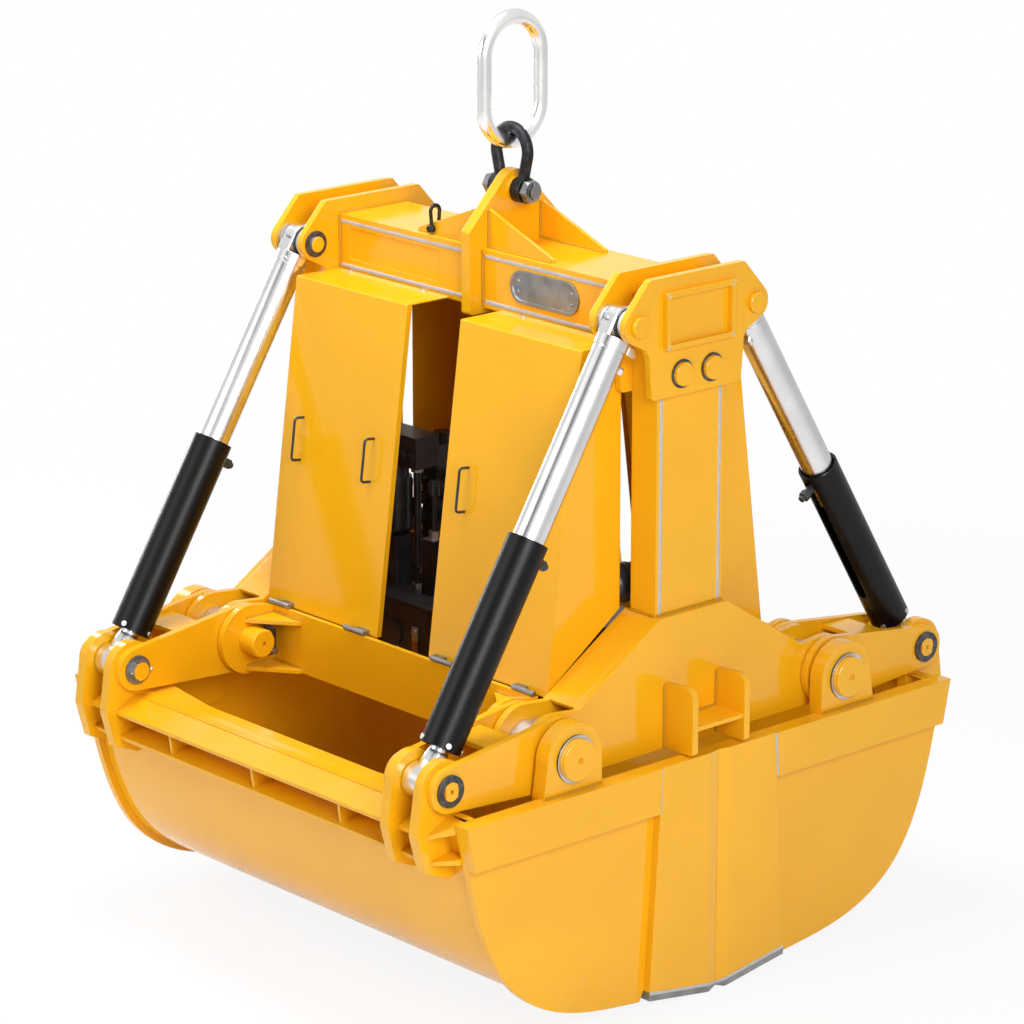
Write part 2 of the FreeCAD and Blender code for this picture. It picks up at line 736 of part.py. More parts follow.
pedestal = box(filter_x - 38.0, filter_x + 38.0, filter_y - 38.0, filter_y + 38.0, 150.0, bowl_z0 - 10.0)
save("power_unit", [shelf, join(motor_parts), join(valve_parts), join(filter_parts), pedestal])

# Pipes up to the filter, return filter, sight gauge and filler cap
riser_x = stack_x + 60.0
sensor_x = stack_x + 143.0
return_x = tank_x0 + 270.0
filler_x = tank_x0 + 540.0
sight_x = tank_x0 + 194.0
disc_x = tank_x0 + 90.0
fittings = [
    join([
        rod_z(13.0, lid_z, head_z - 19.0, riser_x, filter_y), hex_z(38.0, head_z - 19.0, head_z, riser_x, filter_y),
        hex_z(36.0, lid_z, lid_z + 20.0, riser_x, filter_y),
        rod_x(12.0, riser_x, sensor_x - 30.0, filter_y, 217.0),
        hex_x(34.0, riser_x + 28.0, riser_x + 46.0, filter_y, 217.0),
    ]),
    join([
        box(sensor_x - 30.0, sensor_x + 30.0, filter_y - 30.0, filter_y + 30.0, lid_z, 340.0),
        hex_z(32.0, 340.0, 366.0, sensor_x, filter_y), rod_z(8.0, 366.0, 490.0, sensor_x, filter_y),
        rod_z(21.0, 490.0, 528.0, sensor_x, filter_y), rod_z(15.0, 528.0, 538.0, sensor_x, filter_y),
    ]),
    join([rod_z(42.0, lid_z, 156.0, return_x, 60.0), rod_z(36.0, 156.0, 330.0, return_x, 60.0),
          rod_z(48.0, 330.0, 372.0, return_x, 60.0), hex_y(30.0, 20.0, 60.0, return_x, 350.0)]),
    join([rod_z(34.0, lid_z, lid_z + 10.0, filler_x, -120.0),
          rod_z(44.0, lid_z + 10.0, lid_z + 48.0, filler_x, -120.0)]),
    box(sight_x, sight_x + 25.0, -tank_half - 6.0, -tank_half, -55.0, 66.0),
    rod_y(10.0, -tank_half - 12.0, -tank_half - 6.0, sight_x + 12.5, 49.0),
    rod_y(10.0, -tank_half - 12.0, -tank_half - 6.0, sight_x + 12.5, -38.0),
    rod_y(46.0, -tank_half - 8.0, -tank_half, disc_x, 20.0),
]
save("tank_fittings", fittings)

# Accumulator clamped to the right column
store_x = bay_in - 100.0
store_z = 382.0
store = rod_y(58.0, -150.0, 150.0, store_x, store_z)
store = store.makeFillet(22.0, [e for e in store.Edges if e.Curve.TypeId == "Part::GeomCircle"])
clamp_parts = []
for y0 in (-95.0, 65.0):
    clamp = join([
        rod_y(64.0, y0, y0 + 30.0, store_x, store_z),
        box(store_x, bay_in, y0, y0 + 30.0, store_z - 30.0, store_z + 30.0),
    ])
    clamp_parts.append(clamp.cut(rod_y(58.0, y0 - 1.0, y0 + 31.0, store_x, store_z)))
nose = rod_y(17.0, 150.0, 178.0, store_x, store_z)
save("accumulator", [store, nose] + clamp_parts)

# Doors: a bent sheet with a top flange, an outer return cut to the roof slope and an inner fold
drop = math.atan2(door_foot_y - door_top_y, door_top_z - door_foot_z)
sheet_y = door_sheet / math.cos(drop)
lean_per_z = math.tan(drop)
under_z = door_top_z - door_sheet


def door_face_y(z):
    return door_foot_y - (z - door_foot_z) * lean_per_z


skin = plate_x([
    (door_foot_y, door_foot_z), (door_top_y, door_top_z, 5.0), (flange_y, door_top_z),
    (flange_y, under_z), (door_face_y(under_z) - sheet_y, under_z, 1.0),
    (door_foot_y - sheet_y, door_foot_z),
], door_x0, door_x1)
side_wall = plate_x([
    (door_foot_y - 3.0, door_foot_z + 12.0), (door_face_y(under_z) - 3.0, under_z + 1.0),
    (166.0, under_z + 1.0), (166.0, 330.0),
], door_x1 - door_sheet, door_x1)
fold = plate_x([
    (door_foot_y - 3.0, door_foot_z), (door_face_y(under_z) - 3.0, under_z + 1.0),
    (door_face_y(under_z) - 20.0, under_z + 1.0), (door_foot_y - 20.0, door_foot_z),
], door_x0, door_x0 + door_sheet)
door = join([skin, side_wall, fold])
door_bolt_x = (door_x0 + 114.0, door_x1 - 82.0)
door = carve(door, [rod_z(5.0, under_z - 2.0, door_top_z + 2.0, x, 163.0 + 7.0) for x in door_bolt_x])
along_y = -math.sin(drop)
along_z = math.cos(drop)
out_y = math.cos(drop)
out_z = math.sin(drop)


def handle(x):
    path = []
    for z, reach in ((handle_z[0], 0.0), (handle_z[0], 38.0), (handle_z[1], 38.0), (handle_z[1], 0.0)):
        path.append((x, door_face_y(z) + out_y * reach, z + out_z * reach))
    return bent(path, 12.0, 4.5)


door_extras = [handle(x) for x in handle_x]
for x in door_bolt_x:
    stud = join([rod_z(5.0, under_z, door_top_z, x, 170.0), rod_z(10.0, door_top_z, door_top_z + 5.0, x, 170.0)])
    door_extras.append(stud)
leaf_bore = hinge_pin + running
for x in hinge_x:
    leaf = join([
        rod_x(hinge_radius, x - hinge_half, x - side_gap, hinge_y, hinge_z),
        plate_x([(door_face_y(118.0), 118.0), (door_face_y(106.0), 106.0), (hinge_y, 106.0), (hinge_y, 118.0)],
                x - hinge_half, x - side_gap),
    ])
    leaf = leaf.cut(rod_x(leaf_bore, x - hinge_half - 1.0, x, hinge_y, hinge_z))
    door_extras.append(leaf)
doors = (("rear_right", lambda s: s), ("rear_left", flip_x), ("front_right", flip_y),
         ("front_left", lambda s: flip_x(flip_y(s))))
for place_name, move in doors:
    save("door_" + place_name, move(door))
    save("door_fittings_" + place_name, [move(s) for s in door_extras])

# Fixed hinge halves with their pins, and the rest tabs
fixed = []
for x in hinge_x:
    knuckle_half = join([
        rod_x(hinge_radius, x + side_gap, x + hinge_half, hinge_y, hinge_z),
        box(x + side_gap, x + hinge_half, 488.0, wall_y, wall_top, hinge_z),
        rod_x(hinge_pin, x - hinge_half + 4.0, x + side_gap, hinge_y, hinge_z),
    ])
    fixed.extend(corners_of(knuckle_half))
save("door_mounts", fixed + rests)


# Cylinders are built hanging straight down from the upper pin, then leaned out to the rod pin
def lean_out(shape):
    shape = shape.copy()
    shape.rotate(Vec(0, 0, 0), Vec(1, 0, 0), lean)
    shape.translate(Vec(bay_mid, head_pin_y, head_pin_z))
    return shape


def down(radius, start, end):
    return rod_z(radius, -end, -start, 0, 0)


eye_block = join([
    rod_x(knuckle, -eye_half, eye_half, 0, 0),
    box(-eye_half, eye_half, -knuckle, knuckle, -collar_at[0], 0.0),
])
eye_block = eye_block.makeChamfer(eye_chamfer, [
    e for e in eye_block.Edges
    if abs(abs(e.CenterOfMass.x) - eye_half) < 0.1 and e.CenterOfMass.z > 1.0 - collar_at[0]
])
plug_way = Vec(0.45, -0.893, 0)
plug = Part.makeCylinder(15.0, 21.0, Vec(0, 0, -138.0) + plug_way * 47.0, plug_way)
plug = plug.makeFillet(6.0, [e for e in plug.Edges if e.CenterOfMass.y < -55.0])
barrel = join([
    eye_block,
    down(collar_radius, collar_at[0], collar_at[1]),
    down(barrel_radius - groove, collar_at[1], collar_at[1] + groove),
    down(barrel_radius, collar_at[1] + groove, barrel_end),
    box(6.0, 40.0, -72.0, -40.0, 3.0 - collar_at[1], -collar_at[0] - 3.0),
    hex_y(24.0, -84.0, -72.0, 23.0, -(collar_at[0] + collar_at[1]) / 2.0),
    plug,
    rod_y(14.0, -84.0, -46.0, 0, -port_at),
    hex_y(32.0, -104.0, -84.0, 0, -port_at),
    rod_y(11.0, -116.0, -104.0, 0, -port_at),
])
barrel = carve(barrel, [
    rod_x(head_pin + running, -80, 80, 0, 0),
    down(bore_radius, collar_at[1] + 22.0, gland_at),
    down(rod_radius + running, gland_at - 1.0, barrel_end + 1.0),
    Part.makeCylinder(3.5, 12.0, Vec(-24.0, 41.6, -76.0), Vec(-0.5, 0.866, 0)),
])

rod = join([
    down(rod_radius, piston_at[1], span - 95.0),
    down(bore_radius - running, piston_at[0], piston_at[1]),
    down(guard_bore, guard_to - 22.0, guard_to - 4.0),
    Part.makeCone(44.0, rod_radius, 40.0, Vec(0, 0, -span + 60.0), Vec(0, 0, 1)),
    down(44.0, span - 60.0, span - 20.0),
    rod_x(rod_eye, -44.0, 44.0, 0, -span),
])
rod = rod.cut(rod_x(rod_pin, -80, 80, 0, -span))
mid_pin = rod_x(rod_pin, -lug_gap + side_gap, lug_gap - side_gap, 0, -span)

guard = down(guard_radius, guard_from, guard_to)
slot_points = [
    (-slot_half, -slot_at[0] + slot_half, slot_half - 0.01), (slot_half, -slot_at[0] + slot_half, slot_half - 0.01),
    (slot_half, -slot_at[1] - slot_half, slot_half - 0.01), (-slot_half, -slot_at[1] - slot_half, slot_half - 0.01),
]
guard = carve(guard, [
    down(guard_bore, guard_from - 1.0, guard_to + 1.0),
    plate_y(slot_points, -guard_radius - 5.0, -30.0),
])
screws = []
for i in range(4):
    angle = math.radians(25.0 + 90.0 * i)
    way = Vec(math.cos(angle), math.sin(angle), 0)
    start = Vec(0, 0, -guard_to + 13.0)
    guard = guard.cut(Part.makeCylinder(5.0, 40.0, start + way * 40.0, way))
    screw = join([
        Part.makeCylinder(5.0, guard_radius - guard_bore + 2.0, start + way * (guard_bore - 2.0), way),
        Part.makeCylinder(9.0, 5.0, start + way * (guard_radius - 0.5), way),
    ])
    guard = guard.cut(screw)
    rod = rod.cut(screw)
    screws.append(screw)

for place_name, move in doors:
    save("barrel_" + place_name, move(lean_out(barrel)))
    save("rod_" + place_name, [move(lean_out(rod)), move(lean_out(mid_pin))])
    save("guard_" + place_name, [move(lean_out(guard))] + [move(lean_out(s)) for s in screws])


# Shell profile: the curved back edge of the side plates and lines set in from it
def set_in(points, distance):
    moved = []
    for i, (y, z) in enumerate(points):
        before = points[max(i - 1, 0)]
        after = points[min(i + 1, len(points) - 1)]
        ty, tz = after[0] - before[0], after[1] - before[1]
        size = math.hypot(ty, tz)
        moved.append((y + tz / size * distance, z - ty / size * distance))
    return moved


def curve(points, x):
    spline = Part.BSplineCurve()
    spline.interpolate([Vec(x, y, z) for y, z in points])
    return spline.toShape()


def blade_top(y):
    return -893.5 + (y - lip_gap) * 0.1515


# Side plates follow the curved profile and stop on the blade
side_curve = curve(back_points, side_in)
side_edges = [side_curve]
side_path = [back_points[-1], (blade_y, blade_top(blade_y)), (lip_gap, blade_top(lip_gap)),
             (lip_gap, rim_z), back_points[0]]
for a, b in zip(side_path[:-1], side_path[1:]):
    side_edges.append(Part.makeLine(Vec(side_in, *a), Vec(side_in, *b)))
side_plate = Part.Face(Part.Wire(side_edges)).extrude(Vec(lug_out - side_in, 0, 0))

# Curved back plate between the side plates
outer_line = set_in(back_points, plate_set_in)
inner_line = set_in(back_points, plate_set_in + back_t)
outer_line[0] = (outer_line[0][0], rim_z)
inner_line[0] = (inner_line[0][0], rim_z)
outer_line[-1] = (blade_y, blade_top(blade_y) - 14.0)
inner_line[-1] = (blade_y, blade_top(blade_y) + 2.0)
back_edges = [
    curve(outer_line, -side_in), curve(inner_line, -side_in),
    Part.makeLine(Vec(-side_in, *outer_line[0]), Vec(-side_in, *inner_line[0])),
    Part.makeLine(Vec(-side_in, *outer_line[-1]), Vec(-side_in, *inner_line[-1])),
]
back_plate = Part.Face(Part.Wire(Part.__sortEdges__(back_edges))).extrude(Vec(2.0 * side_in, 0, 0))

# Blade along the lip, ground to a bevel where the shells meet
blade = plate_x([
    (lip_gap, blade_top(lip_gap)), (blade_y, blade_top(blade_y)), (blade_y, blade_top(blade_y) - blade_t),
    (34.0, blade_top(34.0) - blade_t), (lip_gap, blade_top(lip_gap) - 14.0),
], -overlay_out, overlay_out)

# Rim bars and corner plates on the outside of the side plates
bar = plate_x([(254.0, rim_z), (1067.0, rim_z), (1036.0, -256.0), (264.0, -256.0)], lug_out, bar_out)
overlay = plate_x([
    (lip_gap, rim_z), (250.0, rim_z), (260.0, -256.0), (blade_y, blade_top(blade_y)),
    (lip_gap, blade_top(lip_gap)),
], lug_out, overlay_out)

# Shallow groove down the parting line of the corner plates and blade ends
parting = plate_z([(bevel_x, 0.0), (overlay_out, bevel_y), (bar_out, bevel_y), (bar_out, 0.0)], -1000.0, 0.0)
overlay = overlay.cut(parting)
blade = carve(blade, ends(parting))

# Pivot lugs: a thick rounded lug above the rim, thinner below where it passes inside the side plate
lug_back = pivot_y - pivot_round
lug_front = pivot_y + pivot_round + 14.0
lug_line = [(lug_back, rim_z), (lug_back, -10.0), (pivot_y, 0.0), (pivot_y + pivot_round, -10.0), (lug_front, rim_z)]
pivot_lug = join([
    plate_x(lug_line, lug_in, lug_out),
    rod_x(pivot_round, lug_in, lug_out, pivot_y, 0.0),
    plate_x([(lug_back, rim_z), (lug_front, rim_z), (lug_front - 23.0, -300.0, 25.0),
             (lug_back + 23.0, -300.0, 25.0)], lug_in, side_in),
    rod_x(76.0, arm_out + plate, lug_in, pivot_y, 0.0),
])
turn_bores = [rod_x(main_pin + running, pin_in, pin_out, pivot_y, 0.0)]
pivot_lug = carve(pivot_lug, turn_bores + [
    box(side_in, bar_out, pivot_y - 200.0, pivot_y + 200.0, rim_z - 294.0, rim_z),
])
bearing_ring = ring_x(77.0, main_cap + seat_gap, lug_out, lug_out + 7.0, pivot_y, 0.0)

# Arms from pivot to rod pin, each pair tied by a cross plate
pivot_spot = (pivot_y, 0.0)
rod_spot = (rod_pin_y, rod_pin_z)
cross_y = (pivot_y + 157.0, pivot_y + 276.0)
cross = plate_x([(cross_y[0], 64.0), (cross_y[1], 59.0), (cross_y[1], 75.0), (cross_y[0], 80.0)], arm_in, arm_out)
arm_pair = [
    belt(pivot_spot, eye_arm, rod_spot, arm_round, arm_in - plate, arm_in),
    belt(pivot_spot, eye_arm, rod_spot, arm_round, arm_out, arm_out + plate),
    cross,
]
stub_bore = rod_x(rod_pin, arm_in - plate - 1.0, arm_out + plate + 1.0, rod_pin_y, rod_pin_z)
arms = carve(join(arm_pair), turn_bores + [stub_bore])

# Cylinder lugs, rounded over the pin and running down the back of the shell
tail_front = (rod_pin_y + 111.0, rim_z - 42.0)
tail_back = (rod_pin_y - 64.0, rim_z + 2.0)
front_touch = touch(tail_front, rod_spot, lug_round, 1)
back_touch = touch(tail_back, rod_spot, lug_round, -1)
tail = [tail_front + (12.0,), (rod_pin_y + 78.0, rim_z - 163.0), (rod_pin_y - 14.0, rim_z - 201.0),
        (tail_back[0], rim_z - 189.0), tail_back]
lug_points = [back_touch, (rod_pin_y, rod_pin_z), front_touch] + tail


def cylinder_lug(x0, x1):
    lug = join([plate_x(lug_points, x0, x1), rod_x(lug_round, x0, x1, rod_pin_y, rod_pin_z)])
    lug = carve(lug, [stub_bore, back_plate])
    return max(lug.Solids, key=lambda s: s.Volume)


lug_blanks = [
    cylinder_lug(arm_in, bay_mid - lug_gap),
    cylinder_lug(bay_mid + lug_gap, arm_out),
]
lug_all = lug_blanks + [flip_x(s) for s in lug_blanks]


# Rim: two sloping outer flanges tied by ribs, and a closed box with a flat top inside
def flange(root_z, tip_z, tip_y, thickness):
    section = plate_x([
        (flange_back, root_z + (flange_knee - flange_back) * 0.1), (flange_knee, root_z), (tip_y, tip_z),
        (tip_y, tip_z - thickness), (flange_back, root_z - thickness),
    ], -side_in, side_in)
    plan = plate_z([
        (-side_in, flange_back - 50.0), (side_in, flange_back - 50.0), (side_in, flange_knee + 6.0),
        (arm_out, tip_y + 1.0), (-arm_out, tip_y + 1.0), (-side_in, flange_knee + 6.0),
    ], -400.0, 0.0)
    return section.common(plan)


top_flange = flange(rim_z - 3.0, -150.0, flange_front, 12.0)
low_flange = flange(-222.0, -236.0, 1108.0, 12.0)
behind_back = Part.Face(Part.Wire(Part.__sortEdges__([
    curve(outer_line, -side_in),
    Part.makeLine(Vec(-side_in, *outer_line[0]), Vec(-side_in, lip_gap, rim_z)),
    Part.makeLine(Vec(-side_in, lip_gap, rim_z), Vec(-side_in, *outer_line[-1])),
]))).extrude(Vec(2.0 * side_in, 0, 0))
flange_ribs = []
for x in (-427.0, -5.0, 427.0):
    flange_ribs.append(plate_x([
        (flange_back, -150.0), (flange_front - 12.0, -150.0), (flange_front - 24.0, -240.0), (flange_back, -240.0),
    ], x - 5.0, x + 5.0))
outer_rim = carve(join([top_flange, low_flange] + flange_ribs), [behind_back] + lug_all)
inner_rim = plate_x([(937.0, rim_z), (1040.0, rim_z), (1010.0, -310.0)], -arm_in, arm_in)
inner_rim = inner_rim.cut(plate_x([(956.0, rim_z - 12.0), (1040.0, rim_z - 12.0), (1012.0, -290.0)],
                                  -arm_in + 12.0, arm_in - 12.0))
wings = []
for side in (1, -1):
    wings.append(plate_z([
        (side * wing_x, 938.0), (side * arm_in, 893.0), (side * arm_in, 938.0),
    ], rim_z - 12.0, rim_z))
inner_rim = join([inner_rim] + wings).cut(back_plate)
inner_rim = max(inner_rim.Solids, key=lambda s: s.Volume)

# Fixed ends of the rod pins with flatted caps, washers and slotted nuts
inner_stub = rod_x(rod_pin, arm_in - plate - stub_tail, bay_mid - lug_gap, rod_pin_y, rod_pin_z)
outer_stub = rod_x(rod_pin, bay_mid + lug_gap, arm_out + plate + 12.0, rod_pin_y, rod_pin_z)
flats = box(arm_out + plate, arm_out + plate + 13.0, rod_pin_y - 40.0, rod_pin_y + 40.0,
            rod_pin_z - 40.0, rod_pin_z + 40.0)
flats = flats.cut(box(arm_out + plate - 1.0, arm_out + plate + 14.0, rod_pin_y - 24.0, rod_pin_y + 24.0,
                      rod_pin_z - 41.0, rod_pin_z + 41.0))
grease = rod_x(7.0, arm_out + plate - 10.0, arm_out + plate + 13.0, rod_pin_y, rod_pin_z)
outer_stub = carve(outer_stub, [flats, grease])
washer = rod_x(51.0, arm_out + plate, arm_out + plate + 9.0, rod_pin_y, rod_pin_z)
washer = washer.cut(outer_stub).cut(rod_x(rod_pin, arm_out, lug_in, rod_pin_y, rod_pin_z))
inner_washer = ring_x(49.0, rod_pin, arm_in - plate - 5.0, arm_in - plate, rod_pin_y, rod_pin_z)
nut_x = arm_in - plate - 5.0
castle = hex_x(66.0, nut_x - 20.0, nut_x, rod_pin_y, rod_pin_z)
castle = castle.cut(rod_x(rod_pin, nut_x - 30.0, nut_x + 1.0, rod_pin_y, rod_pin_z))
for i in range(3):
    slot = box(nut_x - 21.0, nut_x - 12.0, rod_pin_y - 45.0, rod_pin_y + 45.0, rod_pin_z - 3.5, rod_pin_z + 3.5)
    slot.rotate(Vec(0, rod_pin_y, rod_pin_z), Vec(1, 0, 0), 60.0 * i)
    castle = castle.cut(slot.cut(rod_x(rod_pin, nut_x - 30.0, nut_x, rod_pin_y, rod_pin_z)))
stub_set = [inner_stub, outer_stub, washer, inner_washer, castle]

for shell_name, turn in (("rear", lambda s: s), ("front", flip_y)):
    save(shell_name + "_side_plates", [turn(s) for s in ends(side_plate)])
    save(shell_name + "_back_plate", turn(back_plate))
    save(shell_name + "_blade", turn(blade))
    save(shell_name + "_wear_plates", [turn(s) for piece in (bar, overlay) for s in ends(piece)])
    save(shell_name + "_pivot_lugs", [turn(s) for piece in (pivot_lug, bearing_ring) for s in ends(piece)])
    save(shell_name + "_arms", [turn(s) for s in ends(arms)])
    save(shell_name + "_cylinder_lugs", [turn(s) for s in lug_all])
    save(shell_name + "_rim", [turn(outer_rim), turn(inner_rim)])
    save(shell_name + "_rod_pins", [turn(s) for piece in stub_set for s in ends(piece)])
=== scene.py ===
"""A two-shell hydraulic grab in gloss yellow enamel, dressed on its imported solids."""

import math

import bmesh
import bpy
from bpy.props import FloatProperty, FloatVectorProperty, PointerProperty
from mathutils import Matrix, Vector


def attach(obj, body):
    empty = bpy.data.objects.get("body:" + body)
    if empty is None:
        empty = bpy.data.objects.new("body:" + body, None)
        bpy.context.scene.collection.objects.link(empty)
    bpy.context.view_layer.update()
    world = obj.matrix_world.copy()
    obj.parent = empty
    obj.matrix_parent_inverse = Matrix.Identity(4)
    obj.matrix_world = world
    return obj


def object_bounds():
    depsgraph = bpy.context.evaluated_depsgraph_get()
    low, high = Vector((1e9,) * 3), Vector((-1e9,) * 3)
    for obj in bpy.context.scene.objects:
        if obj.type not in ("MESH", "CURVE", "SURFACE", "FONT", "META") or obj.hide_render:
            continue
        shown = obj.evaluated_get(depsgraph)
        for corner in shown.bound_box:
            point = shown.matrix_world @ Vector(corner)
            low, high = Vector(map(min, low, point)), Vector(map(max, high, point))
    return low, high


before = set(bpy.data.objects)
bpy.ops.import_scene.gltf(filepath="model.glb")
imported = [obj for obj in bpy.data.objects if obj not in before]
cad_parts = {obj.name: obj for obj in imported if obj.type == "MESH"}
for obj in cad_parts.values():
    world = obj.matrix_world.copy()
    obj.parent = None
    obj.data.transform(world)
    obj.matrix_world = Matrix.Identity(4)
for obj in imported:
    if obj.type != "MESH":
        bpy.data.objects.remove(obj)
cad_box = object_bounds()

bl_info = {
    "name": "Two-shell hydraulic grab",
    "version": (1, 0, 0),
    "blender": (4, 5, 0),
    "location": "View3D > Sidebar > Grab",
    "description": "Enamel, chrome, weld runs and small fittings for a two-shell hydraulic grab",
    "category": "Object",
}

# The hanging point lies this far above the point midway between the main pivots
HANG = 2.078
FACING = {"front": -1.0, "rear": 1.0}
SIDES = {"left": -1.0, "right": 1.0}

# Stations in millimetres, measured from the middle of the main pivots
HEAD_PIN_Y, HEAD_PIN_Z = 251.0, 1285.0
ROD_PIN_Y, ROD_PIN_Z = 1049.0, -15.0
KNUCKLE_X = 776.5
PIVOT_LUG_FACE = 957.5

# How far the cylinders lean out from their upper pins
LEAN = math.atan2(ROD_PIN_Y - HEAD_PIN_Y, HEAD_PIN_Z - ROD_PIN_Z)

# Heights in the shared frame, in metres
SCRAPE_TOP, SCRAPE_FULL = -2.55, -2.95
OIL_LEVEL = 0.019 - HANG

# Tones that dust and wear leave; the lighter enamel at worn edges is also a painted edge highlight
ENAMEL_DUST = (0.84, 0.50, 0.12)
ENAMEL_RUBBED_HIGHLIGHT = (1.0, 0.58, 0.05)
ENAMEL_SCRAPED = (0.62, 0.50, 0.33)
FORGED_RUBBED = (0.22, 0.22, 0.23)
LACQUER_DUST = (0.20, 0.19, 0.18)
LACQUER_WORN = (0.12, 0.12, 0.13)
PAINT_DUST = (0.11, 0.11, 0.11)
PAINT_WORN = (0.19, 0.19, 0.19)
GLASS_EMPTY = (0.42, 0.36, 0.26)

# Each lamp: the setting with its power, its place, the spot that it aims at and its size, in metres
LAMPS = {
    "top_lamp": ("top_light", (-0.3, -0.9, 3.2), (0.0, 0.0, -1.5), (2.6, 2.2)),
    "right_lamp": ("side_light", (7.5, -3.5, 2.0), (0.0, 0.0, -1.8), (4.0, 4.0)),
    "left_lamp": ("edge_light", (-6.5, 0.4, 0.2), (0.0, 0.0, -1.4), (1.6, 4.5)),
    "front_lamp": ("front_light", (-1.6, -5.6, 1.0), (0.0, 0.0, -1.4), (4.0, 3.0)),
}


def colour(name, description, value):
    return FloatVectorProperty(
        name=name, description=description, subtype="COLOR", size=3, min=0.0, max=1.0, default=value
    )


def length(name, description, value):
    return FloatProperty(name=name, description=description, default=value, min=0.0, unit="LENGTH")


def number(name, description, value):
    return FloatProperty(name=name, description=description, default=value, min=0.0)


def angle(name, description, degrees):
    value = math.radians(degrees)
    return FloatProperty(name=name, description=description, default=value, subtype="ANGLE")


class GrabColours(bpy.types.PropertyGroup):
    enamel: colour("Enamel", "Gloss enamel of the frame and shells", (0.90, 0.445, 0.007))
    chrome: colour("Chrome", "Plated barrels and rods", (0.78, 0.78, 0.785))
    link: colour("Link", "Polished link at the top", (0.96, 0.955, 0.945))
    machined: colour("Machined steel", "Nuts, hinges and cutting edges", (0.30, 0.31, 0.32))
    bright: colour("Bright steel", "Spacers, bearing rings and blocks", (0.62, 0.63, 0.65))
    washer: colour("Washer steel", "Dark washers and seal rings", (0.085, 0.087, 0.092))
    forged: colour("Forged steel", "Darkened shackles", (0.030, 0.031, 0.034))
    gloss_black: colour("Gloss black", "Guard tubes", (0.0025, 0.0025, 0.0028))
    satin_black: colour("Satin black", "Tank, motor and pull handles", (0.019, 0.021, 0.024))
    # Near-white tone of the bare weld runs; it is partly a painted highlight along the edges the
    # runs follow
    weld: colour("Weld", "Bare weld runs", (0.88, 0.885, 0.89))
    gauge: colour("Gauge", "Oil behind the sight glass", (0.30, 0.12, 0.03))


class GrabSizes(bpy.types.PropertyGroup):
    bare_run: length("Bare weld", "Half width of a bare weld run", 0.008)
    edge_run: length("Edge weld", "Half width of a bare weld run at the shell ends", 0.005)
    fillet: length("Fillet", "Half width of an enamelled fillet weld", 0.006)
    ripple: length("Ripple", "Distance between the ripples of a weld", 0.005)
    step: length("Step", "Distance between the sections of a weld run", 0.04)
    plate_rim: length("Plate rim", "Height of the rim of the bare plate on the beam", 0.005)


class GrabStage(bpy.types.PropertyGroup):
    azimuth: angle("Azimuth", "Camera's way round the grab", 48.08)
    elevation: angle("Elevation", "Camera's height as an angle", 16.31)
    distance: length("Distance", "Camera to the middle of the grab", 14.106)
    lift: length("Lift", "How far the view's middle lies above the pivots", 0.444)
    lens: number("Lens", "Focal length in millimetres", 149.55)
    floor: colour("Floor", "Pale floor", (0.90, 0.90, 0.90))
    top_light: number("Top light", "Power of the lamp overhead, watts", 235.0)
    side_light: number("Side light", "Power of the lamp at the right, watts", 490.0)
    front_light: number("Front light", "Power of the lamp in front, watts", 75.0)
    edge_light: number("Edge light", "Power of the narrow lamp at the left, watts", 240.0)
    sky: number("Sky", "Strength of the even light from all round", 0.25)


class Value:
    """A number that varies over a surface; arithmetic on it adds maths nodes"""

    def __init__(self, finish, socket):
        self.finish = finish
        self.socket = socket

    def maths(self, operation, first, second=0.0):
        made = self.finish.node("ShaderNodeMath", {"operation": operation}, {0: first, 1: second})
        return Value(self.finish, made.outputs[0])

    def __add__(self, other):
        return self.maths("ADD", self, other)

    def __sub__(self, other):
        return self.maths("SUBTRACT", self, other)

    def __rsub__(self, other):
        return self.maths("SUBTRACT", other, self)

    def __mul__(self, other):
        return self.maths("MULTIPLY", self, other)

    __radd__ = __add__
    __rmul__ = __mul__

    def highest(self, other):
        return self.maths("MAXIMUM", self, other)

    def rise(self, low, high):
        """0 below low, 1 above high and smooth between"""
        made = self.finish.node("ShaderNodeMapRange", {"interpolation_type": "SMOOTHSTEP"},
                                {"Value": self, "From Min": low, "From Max": high})
        return Value(self.finish, made.outputs["Result"])


